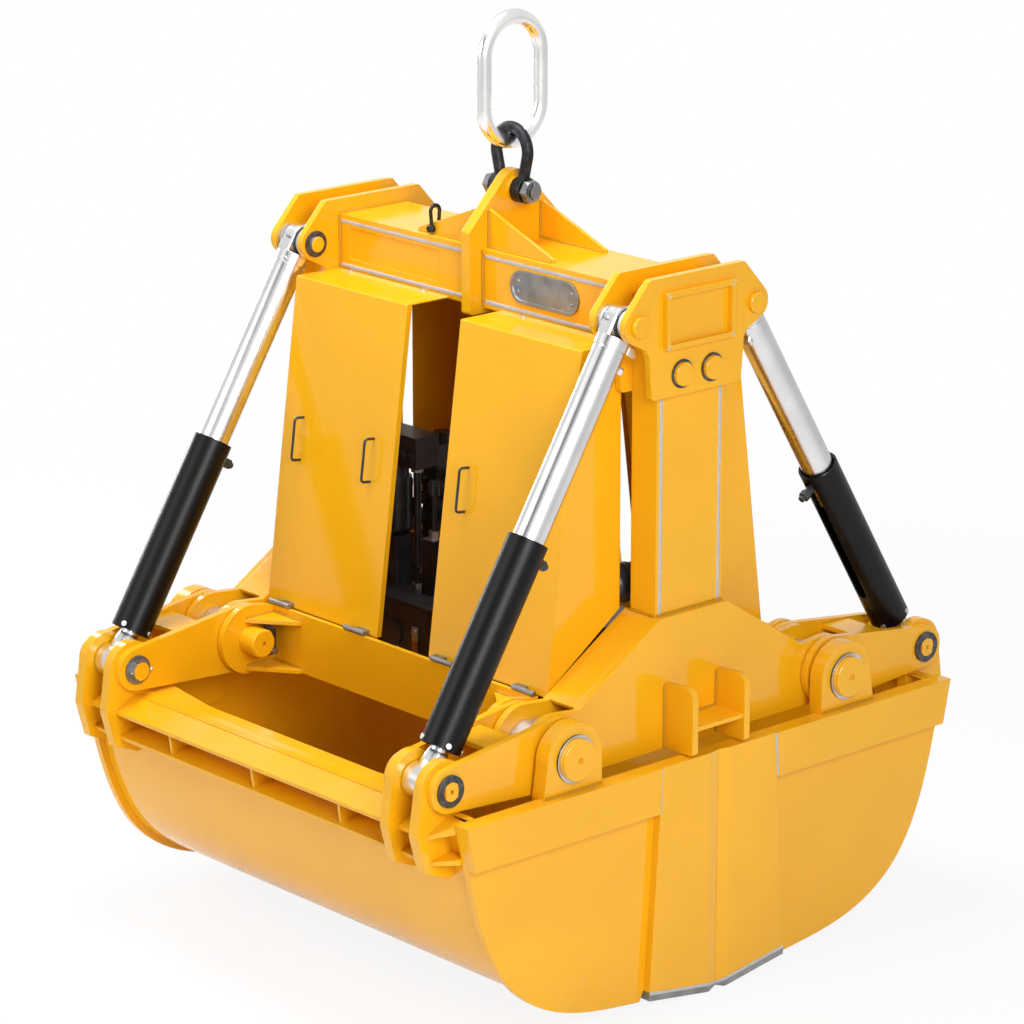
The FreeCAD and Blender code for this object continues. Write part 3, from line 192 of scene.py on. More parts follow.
class Finish:
    """One procedural surface finish"""

    def __init__(self, name, constants):
        self.material = bpy.data.materials.new(name)
        self.material.use_nodes = True
        self.tree = self.material.node_tree
        self.tree.nodes.clear()
        self.shader = self.node("ShaderNodeBsdfPrincipled", {}, constants)
        self.output = self.node("ShaderNodeOutputMaterial", {}, {"Surface": self.shader.outputs[0]})
        self.place = self.node("ShaderNodeTexCoord").outputs["Object"]
        self.normal = self.node("ShaderNodeNewGeometry").outputs["Normal"]
        self.z = self.parts(self.place)[2]
        self.up = self.parts(self.normal)[2]

    def node(self, kind, settings=None, inputs=None):
        made = self.tree.nodes.new(kind)
        for key, value in (settings or {}).items():
            setattr(made, key, value)
        for key, value in (inputs or {}).items():
            self.feed(made.inputs[key], value)
        return made

    def feed(self, socket, value):
        value = getattr(value, "socket", value)
        if isinstance(value, bpy.types.NodeSocket):
            self.tree.links.new(value, socket)
        elif socket.type == "RGBA" and len(value) == 3:
            socket.default_value = (*value, 1.0)
        else:
            socket.default_value = value

    def vector(self, operation, first, second=(0.0, 0.0, 0.0)):
        """The outputs of one step of vector maths"""
        made = self.node("ShaderNodeVectorMath", {"operation": operation}, {0: first, 1: second})
        return made.outputs

    def parts(self, vector):
        """The three numbers of a vector"""
        made = self.node("ShaderNodeSeparateXYZ", {}, {"Vector": vector})
        return [Value(self, socket) for socket in made.outputs]

    def stretched(self, scale):
        """Object coordinates, scaled"""
        return self.node("ShaderNodeMapping", {}, {"Vector": self.place, "Scale": scale}).outputs[0]

    def noise(self, scale, detail=2.0, vector=None, roughness=0.5):
        inputs = {"Vector": vector or self.place, "Scale": scale, "Detail": detail,
                  "Roughness": roughness}
        return Value(self, self.node("ShaderNodeTexNoise", {}, inputs).outputs["Fac"])

    def specks(self, scale):
        inputs = {"Vector": self.place, "Scale": scale}
        made = self.node("ShaderNodeTexVoronoi", {"feature": "F1"}, inputs)
        return Value(self, made.outputs["Distance"])

    def blend(self, factor, first, second):
        made = self.node("ShaderNodeMix", {"data_type": "RGBA"}, {0: factor, 6: first, 7: second})
        return made.outputs[2]

    def edges(self, radius):
        """(mask of the outer edges, rounded normal)"""
        soft = self.node("ShaderNodeBevel", {"samples": 6}, {"Radius": radius}).outputs[0]
        dot = self.vector("DOT_PRODUCT", soft, self.normal)
        return 1.0 - Value(self, dot["Value"]), soft

    def bump(self, height, distance, normal=None):
        inputs = {"Height": height, "Distance": distance}
        if normal is not None:
            inputs["Normal"] = normal
        self.surface(Normal=self.node("ShaderNodeBump", {}, inputs).outputs[0])

    def surface(self, **sockets):
        for key, value in sockets.items():
            self.feed(self.shader.inputs[key.replace("_", " ")], value)


class Room:
    """The studio round the grab, built from the same nodes as a finish"""

    node = Finish.node
    feed = Finish.feed
    vector = Finish.vector

    def __init__(self, tree):
        self.tree = tree

    def facing(self, direction, way):
        """How nearly a direction, laid flat, runs the given way"""
        flat = self.vector("MULTIPLY", direction, (1.0, 1.0, 0.0))
        unit = self.vector("NORMALIZE", flat[0])
        return Value(self, self.vector("DOT_PRODUCT", unit[0], way)["Value"])


def shade(tone, amount):
    return tuple(max(0.0, min(1.0, c * amount)) for c in tone)


def make_enamel(name, tone):
    """Gloss enamel: faint drift of colour, orange peel, thin dust on flat tops, and edges lightened
    by wear and by a painted edge highlight
    """
    finish = Finish(name, {"Coat Weight": 0.10, "Coat Roughness": 0.05, "Specular IOR Level": 0.45})
    drift = finish.noise(1.7, 2.0)
    cloud = finish.noise(9.0, 3.0)
    edge, soft = finish.edges(0.003)
    base = finish.blend(drift.rise(0.35, 0.65), shade(tone, 0.965), shade(tone, 1.03))
    dust = finish.up.rise(0.55, 0.98) * cloud.rise(0.42, 0.72) * 0.10
    base = finish.blend(dust, base, ENAMEL_DUST)
    # Worn edges blend half way to a lighter, brighter yellow: edge wear together with a painted
    # edge highlight
    rubbed_and_highlight = edge.rise(0.05, 0.22) * finish.noise(26.0, 4.0).rise(0.40, 0.62)
    base = finish.blend(rubbed_and_highlight * 0.5, base, ENAMEL_RUBBED_HIGHLIGHT)
    scratch = finish.noise(60.0, 2.0, finish.stretched((1.0, 0.35, 5.0))).rise(0.66, 0.71)
    scraped = scratch * (1.0 - finish.z.rise(SCRAPE_FULL, SCRAPE_TOP))
    base = finish.blend(scraped * 0.35, base, ENAMEL_SCRAPED)
    rough = 0.09 + cloud * 0.07 + dust * 1.2 + scraped * 0.2
    peel = finish.noise(190.0, 2.0) * 0.5 + finish.noise(38.0, 1.0)
    finish.surface(Base_Color=base, Roughness=rough)
    finish.bump(peel, 0.00012, soft)
    return finish.material


def make_chrome(name, tone, along):
    """Plated steel ground along its length, with faint smears"""
    finish = Finish(name, {"Metallic": 1.0})
    smear = finish.noise(7.0, 3.0)
    grain = finish.noise(900.0, 1.0, finish.stretched(along))
    _, soft = finish.edges(0.0015)
    base = finish.blend(smear.rise(0.35, 0.7), shade(tone, 0.95), shade(tone, 1.04))
    finish.surface(Base_Color=base, Roughness=0.16 + smear * 0.08 + grain * 0.05)
    finish.bump(grain, 0.00004, soft)
    return finish.material


def make_machined(name, tone):
    """Machined steel with tool marks and dulled patches"""
    finish = Finish(name, {"Metallic": 1.0})
    patch = finish.noise(16.0, 4.0)
    marks = finish.noise(700.0, 2.0, finish.stretched((0.15, 1.0, 1.0)))
    edge, soft = finish.edges(0.0015)
    base = finish.blend(patch.rise(0.3, 0.7), shade(tone, 0.80), shade(tone, 1.15))
    base = finish.blend(edge.rise(0.03, 0.2) * 0.6, base, shade(tone, 1.9))
    finish.surface(Base_Color=base, Roughness=0.34 + patch * 0.16 + marks * 0.06)
    finish.bump(marks + patch * 2.0, 0.00008, soft)
    return finish.material


def make_forged(name, tone):
    """Forged steel darkened in oil, brighter where it rubs"""
    finish = Finish(name, {"Metallic": 0.85})
    scale = finish.noise(45.0, 5.0, roughness=0.6)
    pits = finish.specks(150.0)
    edge, soft = finish.edges(0.002)
    base = finish.blend(scale.rise(0.35, 0.7), shade(tone, 0.7), shade(tone, 1.6))
    base = finish.blend(edge.rise(0.03, 0.2) * 0.5, base, FORGED_RUBBED)
    finish.surface(Base_Color=base, Roughness=0.38 + scale * 0.22)
    finish.bump(scale + pits * 0.3, 0.0006, soft)
    return finish.material


def make_gloss_black(name, tone):
    """Thick black lacquer with dust specks and hairline marks"""
    finish = Finish(name, {"Specular IOR Level": 0.22})
    cloud = finish.noise(5.0, 3.0)
    dust = (1.0 - finish.specks(140.0).rise(0.05, 0.16)) * cloud.rise(0.45, 0.75)
    edge, soft = finish.edges(0.0015)
    base = finish.blend(dust * 0.12, tone, LACQUER_DUST)
    base = finish.blend(edge.rise(0.04, 0.25) * 0.3, base, LACQUER_WORN)
    finish.surface(Base_Color=base, Roughness=0.30 + cloud * 0.08 + dust * 0.2)
    finish.bump(finish.noise(160.0, 2.0), 0.0001, soft)
    return finish.material


def make_satin_black(name, tone):
    """Satin black paint, slightly oily, greyed on its upward faces and edges"""
    finish = Finish(name, {"Coat Weight": 0.15, "Coat Roughness": 0.15})
    film = finish.noise(11.0, 4.0)
    edge, soft = finish.edges(0.002)
    base = finish.blend(film.rise(0.35, 0.7), shade(tone, 0.7), shade(tone, 1.7))
    dust = finish.up.rise(0.6, 1.0) * film.rise(0.3, 0.6) * 0.4
    base = finish.blend(dust, base, PAINT_DUST)
    base = finish.blend(edge.rise(0.03, 0.2) * 0.55, base, PAINT_WORN)
    finish.surface(Base_Color=base, Roughness=0.30 + film * 0.22)
    finish.bump(finish.noise(240.0, 2.0), 0.0002, soft)
    return finish.material


def make_weld(name, tone, ripple, paint):
    """Weld run, bare or under paint, with ripples that follow the run's own attribute and painted
    shade in the troughs between them
    """
    if paint:
        shine, metal, rough, dark, relief = 0.35, 0.0, 0.26, 0.08, 0.0003
    else:
        shine, metal, rough, dark, relief = 0.5, 0.15, 0.30, 0.35, 0.0007
    finish = Finish(name, {"Specular IOR Level": shine, "Metallic": metal})
    run = finish.node("ShaderNodeAttribute", {"attribute_name": "run"}).outputs["Fac"]
    distance = Value(finish, run)
    crest = distance.maths("SINE", distance * (math.tau / ripple))
    uneven = finish.noise(60.0, 3.0)
    base = finish.blend(uneven.rise(0.35, 0.7), shade(tone, 0.85), shade(tone, 1.1))
    # Troughs between ripples darken towards 0.6 of the tone, lightly under paint and more on bare
    # runs: painted shade in the creases of the run
    base = finish.blend(crest.rise(-1.0, 0.2) * dark, shade(tone, 0.6), base)
    finish.surface(Base_Color=base, Roughness=rough + uneven * 0.2)
    finish.bump(crest + uneven * 1.5, relief)
    return finish.material


def make_glass(name, tone):
    """Sight glass with oil behind it up to a level"""
    finish = Finish(name, {"Coat Weight": 1.0, "Coat Roughness": 0.03})
    air = finish.z.rise(OIL_LEVEL - 0.001, OIL_LEVEL + 0.001)
    swirl = finish.noise(40.0, 3.0)
    base = finish.blend(swirl, shade(tone, 0.75), shade(tone, 1.3))
    base = finish.blend(air, base, GLASS_EMPTY)
    finish.surface(Base_Color=base, Roughness=0.10 + swirl * 0.06)
    finish.bump(swirl, 0.0001)
    return finish.material


FINISHES = {}


def prepare_finishes(context):
    tones = context.scene.grab_colours
    ripple = context.scene.grab_sizes.ripple
    FINISHES["enamel"] = make_enamel("enamel_yellow", tones.enamel)
    FINISHES["chrome"] = make_chrome("chrome_plate", tones.chrome, (1.0, 1.0, 0.03))
    FINISHES["link"] = make_chrome("polished_link", tones.link, (1.0, 0.2, 0.2))
    FINISHES["machined"] = make_machined("machined_steel", tones.machined)
    FINISHES["bright"] = make_machined("bright_steel", tones.bright)
    FINISHES["washer"] = make_forged("washer_steel", tones.washer)
    FINISHES["forged"] = make_forged("forged_steel", tones.forged)
    FINISHES["gloss_black"] = make_gloss_black("lacquer_black", tones.gloss_black)
    FINISHES["satin_black"] = make_satin_black("satin_black", tones.satin_black)
    # Bare runs take the near-white weld tone with little metal, so they read white: partly a
    # painted highlight along the edges they follow
    FINISHES["bare_weld_highlight"] = make_weld("weld_bare", tones.weld, ripple, False)
    FINISHES["painted_weld"] = make_weld("weld_enamelled", tones.enamel, ripple, True)
    FINISHES["gauge"] = make_glass("sight_glass", tones.gauge)


def dress(node, *names, choose=None):
    """Gives a solid its finishes

    choose picks one by each face's middle, in millimetres from the middle of the pivots.
    """
    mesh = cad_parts[node].data
    mesh.materials.clear()
    for name in names:
        mesh.materials.append(FINISHES[name])
    picks = [0] * len(mesh.polygons)
    if choose:
        for face in mesh.polygons:
            centre = (face.center + Vector((0.0, 0.0, HANG))) * 1000.0
            picks[face.index] = choose(centre, face.normal)
    mesh.polygons.foreach_set("material_index", picks)
    mesh.update()


def piece(name, mesh, finish, body):
    """Turns a bmesh into a piece that rides on a body"""
    bmesh.ops.recalc_face_normals(mesh, faces=mesh.faces)
    data = bpy.data.meshes.new(name)
    mesh.to_mesh(data)
    mesh.free()
    made = bpy.data.objects.new(name, data)
    bpy.context.scene.collection.objects.link(made)
    data.materials.append(FINISHES[finish])
    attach(made, body)


def at(x, y, z):
    """A point measured from the middle of the pivots, in millimetres, in the shared frame"""
    return Vector((x / 1000.0, y / 1000.0, z / 1000.0 - HANG))


def mirrored(points, side, facing=1.0):
    """The same points at another side or corner of the grab"""
    return [(side * x, facing * y, z) for x, y, z in points]


def on_cylinder(side, facing, x, y, z):
    """A point given for a cylinder that hangs straight down from its upper pin, leaned out"""
    out = HEAD_PIN_Y + y * math.cos(LEAN) - z * math.sin(LEAN)
    rise = HEAD_PIN_Z + y * math.sin(LEAN) + z * math.cos(LEAN)
    return at(side * (KNUCKLE_X + x), facing * out, rise)


def along_cylinder(spot):
    """The same place turned back: across, outwards and along the cylinder"""
    out, rise = abs(spot.y) - HEAD_PIN_Y, spot.z - HEAD_PIN_Z
    return Vector((abs(spot.x) - KNUCKLE_X, out * math.cos(LEAN) + rise * math.sin(LEAN),
                   rise * math.cos(LEAN) - out * math.sin(LEAN)))


def turned(mesh, profile, spot, way, steps):
    """A turned body: a profile of (radius, height) in millimetres spun round an axis"""
    merge = 0.00002
    body = bmesh.new()
    verts = [body.verts.new((radius / 1000.0, 0.0, height / 1000.0)) for radius, height in profile]
    edges = [body.edges.new(pair) for pair in zip(verts[:-1], verts[1:])]
    bmesh.ops.spin(body, geom=verts + edges, cent=(0.0, 0.0, 0.0), axis=(0.0, 0.0, 1.0),
                   angle=math.tau, steps=steps, use_merge=True)
    bmesh.ops.remove_doubles(body, verts=body.verts, dist=merge)
    turn = Vector(way).to_track_quat("Z", "X").to_matrix().to_4x4()
    bmesh.ops.transform(body, matrix=Matrix.Translation(spot) @ turn, verts=body.verts)
    held = bpy.data.meshes.new("turned")
    body.to_mesh(held)
    body.free()
    mesh.from_mesh(held)
    bpy.data.meshes.remove(held)


def weld_run(mesh, points, half, step, out=None):
    """A run along straight stretches, flattened against its face

    Its points carry how far along the run they lie, in the attribute called run.
    """
    flat, swelling, swell_pace, swell_drift = 0.3, 0.10, 2.3, 40.0
    layer = mesh.verts.layers.float.get("run") or mesh.verts.layers.float.new("run")
    points = [at(*p) for p in points]
    travelled = 0.0
    for start, end in zip(points[:-1], points[1:]):
        along = end - start
        turn = along.to_track_quat("Z", "X").to_matrix().to_4x4()
        steps = max(1, round(along.length / step))
        ring = bmesh.ops.create_circle(mesh, cap_ends=True, segments=8, radius=half,
                                       matrix=Matrix.Translation(start) @ turn)["verts"]
        face = ring[0].link_faces[0]
        if out:
            squeeze = Matrix.Scale(flat, 4, Vector(out))
            bmesh.ops.transform(mesh, matrix=squeeze, verts=ring, space=Matrix.Translation(-start))
        for vert in ring:
            vert[layer] = travelled
        swell = 1.0
        for i in range(1, steps + 1):
            grown = bmesh.ops.extrude_face_region(mesh, geom=[face])["geom"]
            ring = [g for g in grown if isinstance(g, bmesh.types.BMVert)]
            face = next(g for g in grown if isinstance(g, bmesh.types.BMFace))
            bmesh.ops.translate(mesh, verts=ring, vec=along / steps)
            middle = start + along * (i / steps)
            fresh = 1.0 + swelling * math.sin(i * swell_pace + travelled * swell_drift)
            bmesh.ops.scale(mesh, verts=ring, vec=(fresh / swell,) * 3,
                            space=Matrix.Translation(-middle))
            swell = fresh
            for vert in ring:
                vert[layer] = travelled + along.length * i / steps
        travelled += along.length


class GRAB_OT_finishes(bpy.types.Operator):
    """Make the enamel, chrome, steel, lacquer and weld finishes"""

    bl_idname = "grab.finishes"
    bl_label = "Finishes"

    def execute(self, context):
        prepare_finishes(context)
        return {"FINISHED"}


class GRAB_OT_enamel(bpy.types.Operator):
    """Enamel the frame, the covers and the shells"""

    bl_idname = "grab.enamel"
    bl_label = "Frame and shells"

    def execute(self, context):
        def lug(centre, normal):
            if abs(centre.x) < PIVOT_LUG_FACE:
                return 0
            # The ring round each main pin is split by how its faces turn: bright steel on the front
            # face, dark washer steel on the round sides, a painted reflection on one steel ring
            ring_front_lit = abs(normal.x) > 0.9
            return 1 if ring_front_lit else 2

        for node in ("lifting_plate", "lifting_gussets", "top_beam", "head_cheeks", "columns",
                     "base_plates", "pivot_ears", "base_walls", "guide_brackets"):
            dress(node, "enamel")
        for end in FACING:
            for part in ("side_plates", "back_plate", "wear_plates", "arms", "cylinder_lugs",
                         "rim"):
                dress(f"{end}_{part}", "enamel")
            # The lugs' rings take bright and dark steel by facing: painted reflection of a lit
            # front and dark sides
            dress(f"{end}_pivot_lugs", "enamel", "bright", "washer", choose=lug)
            dress(f"{end}_blade", "machined")
            for side in SIDES:
                dress(f"door_{end}_{side}", "enamel")
        return {"FINISHED"}


class GRAB_OT_pins(bpy.types.Operator):
    """Finish pins, washers, caps, bearing blocks and hinges"""

    bl_idname = "grab.pins"
    bl_label = "Pins and washers"

    def execute(self, context):
        def trim(centre, normal):
            washer_face, washer_top = 862.1, 1160.0
            return 1 if abs(centre.x) < washer_face and centre.z < washer_top else 0

        def main(centre, normal):
            across = abs(centre.x)
            keeper_x, keeper_y = 636.9, 562.5
            if across > keeper_x or abs(centre.y) > keeper_y:
                return 0
            plate_in, plate_out = 599.5, 608.5
            return 2 if plate_in < across < plate_out else 1

        def rod_ends(centre, normal):
            reach = math.hypot(abs(centre.y) - ROD_PIN_Y, centre.z - ROD_PIN_Z)
            pin_round, nut_face = 30.2, 660.6
            if reach < pin_round:
                return 0
            return 1 if abs(centre.x) < nut_face else 2

        def head(centre, normal):
            reach = math.hypot(abs(centre.y) - HEAD_PIN_Y, centre.z - HEAD_PIN_Z)
            across = abs(centre.x)
            cap_from, inboard_to, pin_round, seal_reach = 857.5, 695.5, 26.2, 33.2
            if across > cap_from:
                return 0
            if across < inboard_to:
                return 0 if reach < pin_round else 2
            return 2 if abs(across - KNUCKLE_X) < seal_reach else 1

        def fittings(centre, normal):
            """Pull handles 0, hinges 1, flange bolts 2"""
            hinge_top, handle_top = 500.0, 800.0
            if centre.z < hinge_top:
                return 1
            return 0 if centre.z < handle_top else 2

        dress("head_trim", "enamel", "washer", choose=trim)
        dress("main_pins", "enamel", "machined", "washer", choose=main)
        dress("upper_pins", "enamel", "bright", "washer", choose=head)
        dress("bearing_blocks", "bright")
        dress("door_mounts", "machined")
        for end in FACING:
            dress(f"{end}_rod_pins", "enamel", "machined", "washer", choose=rod_ends)
            for side in SIDES:
                dress(f"door_fittings_{end}_{side}", "satin_black", "machined", "bright",
                      choose=fittings)
        return {"FINISHED"}


class GRAB_OT_cylinders(bpy.types.Operator):
    """Finish barrels, rods and guard tubes"""

    bl_idname = "grab.cylinders"
    bl_label = "Cylinders"

    def execute(self, context):
        def port(centre, normal):
            spot = along_cylinder(centre)
            barrel_round, port_foot, port_head = 56.0, -800.0, -750.0
            return 1 if spot.y < -barrel_round and port_foot < spot.z < port_head else 0

        def screw(centre, normal):
            guard_round = 66.3
            return 1 if along_cylinder(centre).xy.length > guard_round else 0

        for end in FACING:
            for side in SIDES:
                dress(f"barrel_{end}_{side}", "chrome", "satin_black", choose=port)
                dress(f"rod_{end}_{side}", "chrome")
                dress(f"guard_{end}_{side}", "gloss_black", "bright", choose=screw)
        return {"FINISHED"}


class GRAB_OT_hanging_gear(bpy.types.Operator):
    """Finish the link and the shackles"""

    bl_idname = "grab.hanging_gear"
    bl_label = "Link and shackles"

    def execute(self, context):
        def bolt(centre, normal):
            bow_side = 73.0
            return 1 if abs(centre.x) > bow_side else 0

        dress("master_link", "link")
        dress("shackle_bow", "forged")
        dress("shackle_bolt", "forged", "machined", choose=bolt)
        dress("small_shackle", "forged")
        return {"FINISHED"}


class GRAB_OT_power_unit(bpy.types.Operator):
    """Finish the tank, motor, valves and their fittings"""

    bl_idname = "grab.power_unit"
    bl_label = "Power unit"

    def execute(self, context):
        def fitting(centre, normal):
            """Black pipes and caps 0, bright unions and the gauge's frame 1, its glass 2"""
            x, y, z = centre
            gauge_left, gauge_right, tank_face, glass_face = -230.0, -190.0, -237.5, -244.5
            if gauge_left < x < gauge_right and y < tank_face:
                return 2 if y > glass_face else 1
            pipe_back, riser_side, riser_face = -90.0, -280.0, -309.0
            if y > pipe_back:
                return 0
            if x >= riser_side:
                union_foot, union_head = 339.0, 367.0
                return 1 if union_foot < z < union_head else 0
            foot_low, foot_high, elbow_low, elbow_high, top = 147.0, 169.0, 190.0, 240.0, 552.5
            elbow = elbow_low < z < elbow_high and x > riser_face
            return 1 if z > top or elbow or foot_low < z < foot_high else 0

        dress("tank", "satin_black")
        dress("power_unit", "satin_black")
        dress("tank_fittings", "satin_black", "bright", "gauge", choose=fitting)
        dress("accumulator", "satin_black")
        return {"FINISHED"}


class GRAB_OT_frame_welds(bpy.types.Operator):
    """Lay the bare weld runs on the beam, the columns, the bearing blocks and the name frames;
    their near-white tone is partly a painted highlight along the edges they follow
    """

    bl_idname = "grab.frame_welds"
    bl_label = "Bare welds of the frame"

    def execute(self, context):
        sizes = context.scene.grab_sizes
        mesh = bmesh.new()
        beam_y, beam_in, beam_out, beam_low, beam_high = 143.3, 34.0, 690.0, 1200.0, 1351.0
        column_x, column_y, column_foot, column_head = 833.3, 127.0, 332.0, 1030.0
        block_in, block_out, block_near, block_far, block_z = 723.0, 830.0, 496.0, 554.0, 56.3
        name_x, name_out, name_in, name_leg = 878.3, 146.0, 132.0, 15.0
        name_foot, name_head = 1197.0, 1375.0
        sideways, endways, upwards = (1.0, 0.0, 0.0), (0.0, 1.0, 0.0), (0.0, 0.0, 1.0)
        for side in SIDES.values():
            for facing in FACING.values():
                def lay(points, half, out):
                    weld_run(mesh, mirrored(points, side, facing), half, sizes.step, out)

                for z in (beam_high, beam_low):
                    lay([(beam_in, beam_y, z), (beam_out, beam_y, z)], sizes.bare_run, endways)
                lay([(column_x, column_y, column_foot), (column_x, column_y, column_head)],
                    sizes.bare_run * 0.8, sideways)
                lay([(block_in, block_near, block_z), (block_in, block_far, block_z),
                     (block_out, block_far, block_z), (block_out, block_near, block_z)],
                    sizes.edge_run, upwards)
                for z, rise in ((name_foot, 1.0), (name_head, -1.0)):
                    lay([(name_x, name_out, z), (name_x, name_in, z + rise * name_leg)],
                        sizes.edge_run * 0.5, sideways)
        piece("frame_bare_welds", mesh, "bare_weld_highlight", "frame")
        return {"FINISHED"}


class GRAB_OT_frame_fillets(bpy.types.Operator):
    """Lay the enamelled fillet welds where the plates of the frame meet"""

    bl_idname = "grab.frame_fillets"
    bl_label = "Enamelled welds of the frame"

    def execute(self, context):
        sizes = context.scene.grab_sizes
        mesh = bmesh.new()
        bracket_x, bracket_foot, bracket_head, shelf_y = 859.0, -97.0, 108.0, 100.0
        column_x, column_in, column_out = 834.0, 723.0, 830.0
        column_foot, column_head = 329.0, 1039.0
        beam_end, beam_y, beam_foot, beam_top, beam_half = 694.0, 146.0, 1184.0, 1374.0, 143.0
        plate_x, gusset_end, gusset_top, beam_edge = 21.0, 320.0, 1495.0, 1370.0
        ear_in, ear_out, ear_near, ear_far = 492.0, 636.0, 501.0, 616.0
        runs = []
        for side in SIDES.values():
            across = []
            for y in (-127.0, -101.0, 101.0, 127.0):
                across.append([(bracket_x, y, bracket_foot), (bracket_x, y, bracket_head)])
            for z in (-9.0, -25.0):
                across.append([(bracket_x, -shelf_y, z), (bracket_x, shelf_y, z)])
            for z in (column_head, column_foot):
                across.append([(column_x, -beam_half, z), (column_x, beam_half, z)])
            across.append([(beam_end, -beam_half, beam_top), (beam_end, beam_half, beam_top)])
            runs += [mirrored(run, side) for run in across]
            corner = []
            for x in (plate_x, beam_end):
                corner.append([(x, beam_y, beam_foot), (x, beam_y, beam_edge)])
            for y in (105.0, 119.0):
                corner.append([(gusset_end, y, beam_top), (plate_x, y, beam_top),
                               (plate_x, y, gusset_top)])
            corner.append([(column_in, beam_y, column_foot), (column_out, beam_y, column_foot)])
            for z in (77.0, 61.0, -90.0):
                corner.append([(ear_in, ear_near, z), (ear_out, ear_near, z),
                               (ear_out, ear_far, z)])
            runs += [mirrored(run, side, facing) for facing in FACING.values() for run in corner]
        for run in runs:
            weld_run(mesh, run, sizes.fillet, sizes.step)
        piece("frame_enamelled_welds", mesh, "painted_weld", "frame")
        return {"FINISHED"}


class GRAB_OT_shell_welds(bpy.types.Operator):
    """Lay the weld runs of the shells: bare at their ends, near-white and partly a painted
    highlight along the edges there, and enamelled at the lugs and arms
    """

    bl_idname = "grab.shell_welds"
    bl_label = "Welds of the shells"

    def lip(self, x, y):
        """A point of the weld just under the upper edge of the blade, which slopes up outwards"""
        edge, edge_y, slope, drop = -893.5, 0.5, 0.1515, 5.0
        return x, y, edge + (y - edge_y) * slope - drop

    def execute(self, context):
        sizes = context.scene.grab_sizes
        flange_x, wear_x, bevel_x = 986.5, 985.2, 976.3
        wear_far, wear_near, bevel_y = 299.0, 44.0, 1.0
        lug_x, lug_near, lug_far, lug_z = 958.0, 490.0, 724.0, -105.0
        arm_faces, arm_foot, arm_head = (691.5, 861.5), (760.0, 81.0), (873.0, 76.0)
        outwards = (1.0, 0.0, 0.0)
        for end, facing in FACING.items():
            bare = bmesh.new()
            painted = bmesh.new()
            for side in SIDES.values():
                flange = [(flange_x, 252.2, -108.0), (flange_x, 262.0, -254.0)]
                lip = [self.lip(wear_x, wear_far), self.lip(wear_x, wear_near),
                       self.lip(bevel_x, bevel_y)]
                for run in (flange, lip):
                    weld_run(bare, mirrored(run, side, facing), sizes.edge_run, sizes.step,
                             outwards)
                lug = [(lug_x, lug_near, lug_z), (lug_x, lug_far, lug_z)]
                weld_run(painted, mirrored(lug, side, facing), sizes.fillet, sizes.step)
                for x in arm_faces:
                    arm = [(x, *arm_foot), (x, *arm_head)]
                    weld_run(painted, mirrored(arm, side, facing), sizes.fillet * 0.7, sizes.step)
            piece(f"{end}_shell_bare_welds", bare, "bare_weld_highlight", f"{end}_shell")
            piece(f"{end}_shell_enamelled_welds", painted, "painted_weld", f"{end}_shell")
        return {"FINISHED"}


class GRAB_OT_bare_plate(bpy.types.Operator):
    """Rivet the bare steel plate with round ends to the front of the beam"""

    bl_idname = "grab.bare_plate"
    bl_label = "Bare plate"

    def execute(self, context):
        rim = context.scene.grab_sizes.plate_rim
        round_end, half_straight, thick = 0.055, 0.105, 0.007
        edge_round, border, rim_slope = 0.0015, 0.009, 0.002
        middle_x, face_y, middle_z = 316.0, -142.6, 1280.0
        rivet_x, rivet_z, rivet_out = 124.0, 18.0, 2.0
        rivet = [(0.0, 5.0), (3.0, 4.4), (5.4, 2.6), (6.4, 0.0), (6.4, -1.0)]
        mesh = bmesh.new()
        bmesh.ops.create_circle(mesh, cap_ends=True, segments=54, radius=round_end)
        for way in (1.0, -1.0):
            half = [v for v in mesh.verts if v.co.x * way > 0.0]
            bmesh.ops.translate(mesh, verts=half, vec=(way * half_straight, 0.0, 0.0))
        grown = bmesh.ops.extrude_face_region(mesh, geom=mesh.faces[:])["geom"]
        raised = [g for g in grown if isinstance(g, bmesh.types.BMVert)]
        bmesh.ops.translate(mesh, verts=raised, vec=(0.0, 0.0, thick))
        top = next(g for g in grown if isinstance(g, bmesh.types.BMFace))
        bmesh.ops.bevel(mesh, geom=list(top.edges), offset=edge_round, offset_type="OFFSET",
                        affect="EDGES", segments=2, profile=0.5, material=-1)
        top = max(mesh.faces, key=lambda f: f.calc_center_median().z * 10.0 + f.calc_area())
        bmesh.ops.inset_region(mesh, faces=[top], thickness=border, depth=0.0)
        bmesh.ops.inset_region(mesh, faces=[top], thickness=rim_slope, depth=-rim)
        upright = Matrix.Rotation(math.pi / 2.0, 4, "X")
        stand = Matrix.Translation(at(middle_x, face_y, middle_z)) @ upright
        bmesh.ops.transform(mesh, matrix=stand, verts=mesh.verts)
        for x in (middle_x - rivet_x, middle_x + rivet_x):
            for z in (middle_z - rivet_z, middle_z + rivet_z):
                turned(mesh, rivet, at(x, face_y - rivet_out, z), (0.0, -1.0, 0.0), 20)
        piece("bare_plate", mesh, "machined", "frame")
        return {"FINISHED"}


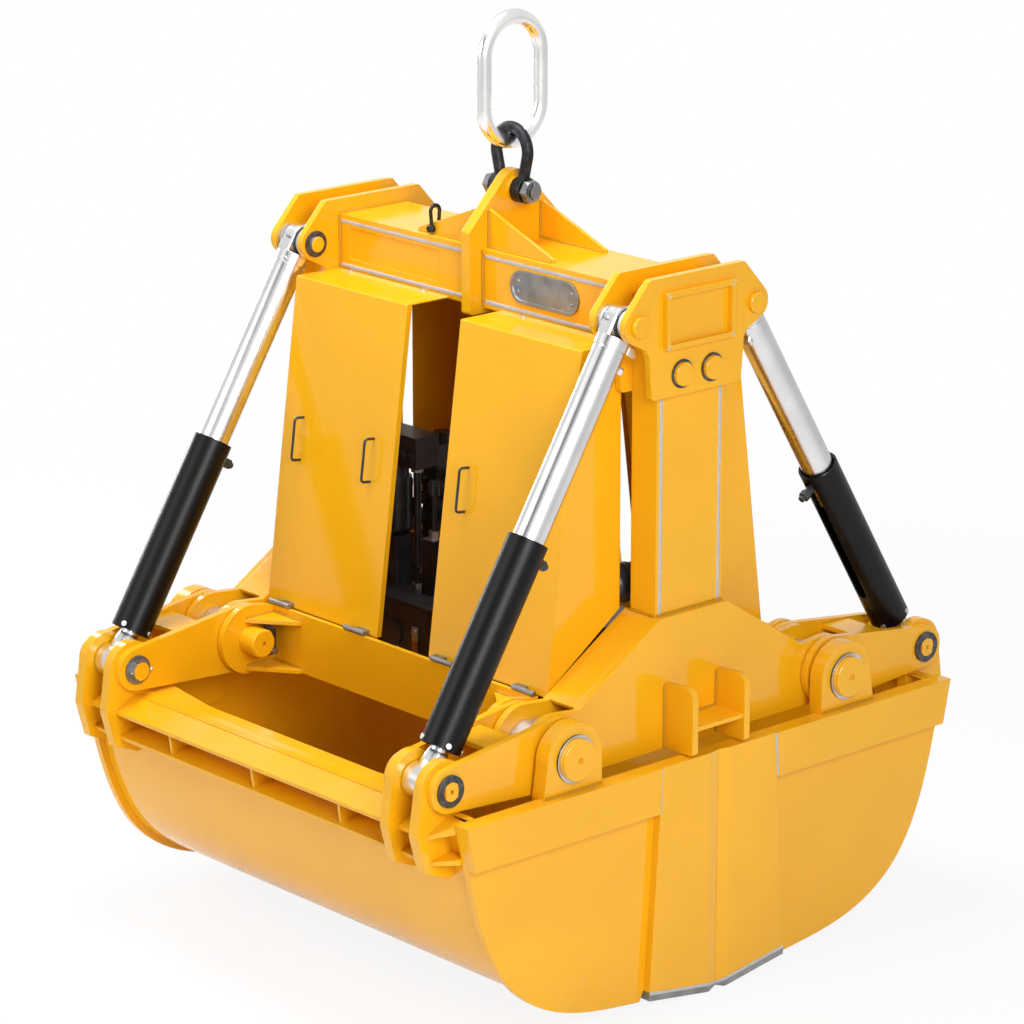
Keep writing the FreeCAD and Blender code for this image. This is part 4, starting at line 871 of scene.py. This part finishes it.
class GRAB_OT_nipples(bpy.types.Operator):
    """Screw grease nipples into the knuckles and split pins into the slotted nuts"""

    bl_idname = "grab.nipples"
    bl_label = "Grease nipples and split pins"

    def execute(self, context):
        nipple = [(6.5, -1.0), (6.5, 4.0), (3.6, 5.0), (3.2, 10.0), (4.4, 11.5), (4.4, 13.0),
                  (2.2, 15.5), (0.0, 16.0)]
        pin = [(0.0, 0.0), (2.4, 0.8), (3.0, 3.0), (3.0, 76.0), (5.2, 78.0), (6.0, 82.0),
               (5.2, 86.0), (0.0, 88.0)]
        across, knuckle_face, reach, along = -8.0, 54.6, 25.4, -8.0
        nut_x, pin_lead = 644.0, 41.0
        for end, facing in FACING.items():
            split = bmesh.new()
            for side_name, side in SIDES.items():
                mesh = bmesh.new()
                spot = on_cylinder(side, facing, across, knuckle_face, along)
                way = on_cylinder(side, facing, across, knuckle_face + reach, along) - spot
                turned(mesh, nipple, spot, way, 18)
                corner = f"{end}_{side_name}"
                piece(f"grease_nipple_{corner}", mesh, "machined", f"barrel_{corner}")
                start = at(side * nut_x, facing * ROD_PIN_Y - pin_lead, ROD_PIN_Z)
                turned(split, pin, start, (0.0, 1.0, 0.0), 14)
            piece(f"{end}_split_pins", split, "bright", f"{end}_shell")
        return {"FINISHED"}


class GRAB_OT_stage(bpy.types.Operator):
    """Set the floor, lamps and camera"""

    bl_idname = "grab.stage"
    bl_label = "Floor, lamps and camera"

    def lamp(self, name, place, aim, size, power):
        data = bpy.data.lights.new(name, "AREA")
        data.shape = "RECTANGLE"
        data.size, data.size_y = size
        data.energy = power
        made = bpy.data.objects.new(name, data)
        made.location = place
        made.rotation_mode = "QUATERNION"
        made.rotation_quaternion = (Vector(aim) - Vector(place)).to_track_quat("-Z", "Y")
        bpy.context.scene.collection.objects.link(made)

    def floor(self, tone, height):
        """Pale floor that keeps the shadow and fades to white with distance"""
        half, fade_from, fade_to = 150.0, 3.6, 7.5
        glow, far_glow, seen_glow = 0.34, 0.11, 0.55
        mesh = bmesh.new()
        bmesh.ops.create_grid(mesh, x_segments=1, y_segments=1, size=half)
        bmesh.ops.translate(mesh, verts=mesh.verts, vec=(0.0, 0.0, height))
        data = bpy.data.meshes.new("floor")
        mesh.to_mesh(data)
        mesh.free()
        made = bpy.data.objects.new("floor", data)
        bpy.context.scene.collection.objects.link(made)
        matt = {"Base Color": tone, "Roughness": 0.9, "Specular IOR Level": 0.0}
        finish = Finish("pale_floor", matt)
        light = finish.node("ShaderNodeLightPath").outputs
        camera = Value(finish, light["Is Camera Ray"])
        seen = camera.highest(Value(finish, light["Is Glossy Ray"]))
        seen = seen.highest(Value(finish, light["Is Transmission Ray"]))
        white = finish.node("ShaderNodeEmission", {}, {"Color": (1.0, 1.0, 1.0), "Strength": 1.0})
        away = Value(finish, finish.vector("LENGTH", finish.place)["Value"])
        far = away.rise(fade_from, fade_to)
        share = camera * (glow + far * far_glow) + seen * seen_glow
        mixed = finish.node("ShaderNodeMixShader", {}, {
            0: share, 1: finish.shader.outputs[0], 2: white.outputs[0]})
        finish.feed(finish.output.inputs["Surface"], mixed.outputs[0])
        data.materials.append(finish.material)

    def sky(self, scene, strength):
        """Even light, white to the eye, and mirrored in steel as a white room with one dark flag"""
        flag_way, flag_depth = (0.13, -0.99, 0.0), 0.82
        scene.world = bpy.data.worlds.new("studio")
        scene.world.use_nodes = True
        tree = scene.world.node_tree
        tree.nodes.clear()
        room = Room(tree)
        light = room.node("ShaderNodeLightPath").outputs
        around = room.node("ShaderNodeTexCoord").outputs["Generated"]
        flag = room.facing(around, flag_way).rise(0.955, 0.992)
        steel_sees = 1.0 - flag * flag_depth
        seen = Value(room, light["Is Camera Ray"])
        glossy = Value(room, light["Is Glossy Ray"])
        level = strength + seen * (1.0 - strength) + glossy * (steel_sees - strength)
        background = room.node("ShaderNodeBackground", {}, {"Strength": level})
        room.node("ShaderNodeOutputWorld", {}, {"Surface": background.outputs[0]})

    def camera(self, scene, plan):
        """Long lens from the front right, aimed at the grab's own height"""
        data = bpy.data.cameras.new("camera")
        data.lens = plan.lens
        data.sensor_width = 36.0
        data.clip_end = 400.0
        made = bpy.data.objects.new("camera", data)
        scene.collection.objects.link(made)
        turn, rise = plan.azimuth, plan.elevation
        across, along = math.cos(turn), math.sin(turn)
        right = Vector((across, along, 0.0))
        back = Vector((along * math.cos(rise), -across * math.cos(rise), math.sin(rise)))
        up = back.cross(right)
        made.location = back * plan.distance + up * plan.lift - Vector((0.0, 0.0, HANG))
        made.rotation_mode = "QUATERNION"
        made.rotation_quaternion = (-back).to_track_quat("-Z", "Y")
        scene.camera = made

    def execute(self, context):
        scene = context.scene
        plan = scene.grab_stage
        clearance = 0.002
        self.floor(tuple(plan.floor), cad_box[0].z - clearance)
        self.sky(scene, plan.sky)
        for name, (setting, place, aim, size) in LAMPS.items():
            self.lamp(name, place, aim, size, getattr(plan, setting))
        self.camera(scene, plan)
        scene.view_settings.view_transform = "Standard"
        return {"FINISHED"}


PIECES = (
    GRAB_OT_finishes, GRAB_OT_enamel, GRAB_OT_pins, GRAB_OT_cylinders, GRAB_OT_hanging_gear,
    GRAB_OT_power_unit, GRAB_OT_frame_welds, GRAB_OT_frame_fillets, GRAB_OT_shell_welds,
    GRAB_OT_bare_plate, GRAB_OT_nipples, GRAB_OT_stage,
)


class GRAB_PT_panel(bpy.types.Panel):
    """Lists the pieces of the grab"""

    bl_idname = "GRAB_PT_panel"
    bl_label = "Hydraulic grab"
    bl_space_type = "VIEW_3D"
    bl_region_type = "UI"
    bl_category = "Grab"

    def draw(self, context):
        scene = context.scene
        for group in (scene.grab_colours, scene.grab_sizes, scene.grab_stage):
            for name in group.__annotations__:
                self.layout.prop(group, name)
        for kind in PIECES:
            self.layout.operator(kind.bl_idname)


CLASSES = (GrabColours, GrabSizes, GrabStage, *PIECES, GRAB_PT_panel)


def register():
    for kind in CLASSES:
        bpy.utils.register_class(kind)
    bpy.types.Scene.grab_colours = PointerProperty(type=GrabColours)
    bpy.types.Scene.grab_sizes = PointerProperty(type=GrabSizes)
    bpy.types.Scene.grab_stage = PointerProperty(type=GrabStage)


def unregister():
    del bpy.types.Scene.grab_stage
    del bpy.types.Scene.grab_sizes
    del bpy.types.Scene.grab_colours
    for kind in reversed(CLASSES):
        bpy.utils.unregister_class(kind)


def main():
    register()
    for kind in PIECES:
        group, name = kind.bl_idname.split(".")
        getattr(getattr(bpy.ops, group), name)()
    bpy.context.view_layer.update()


if __name__ == "__main__":
    main()
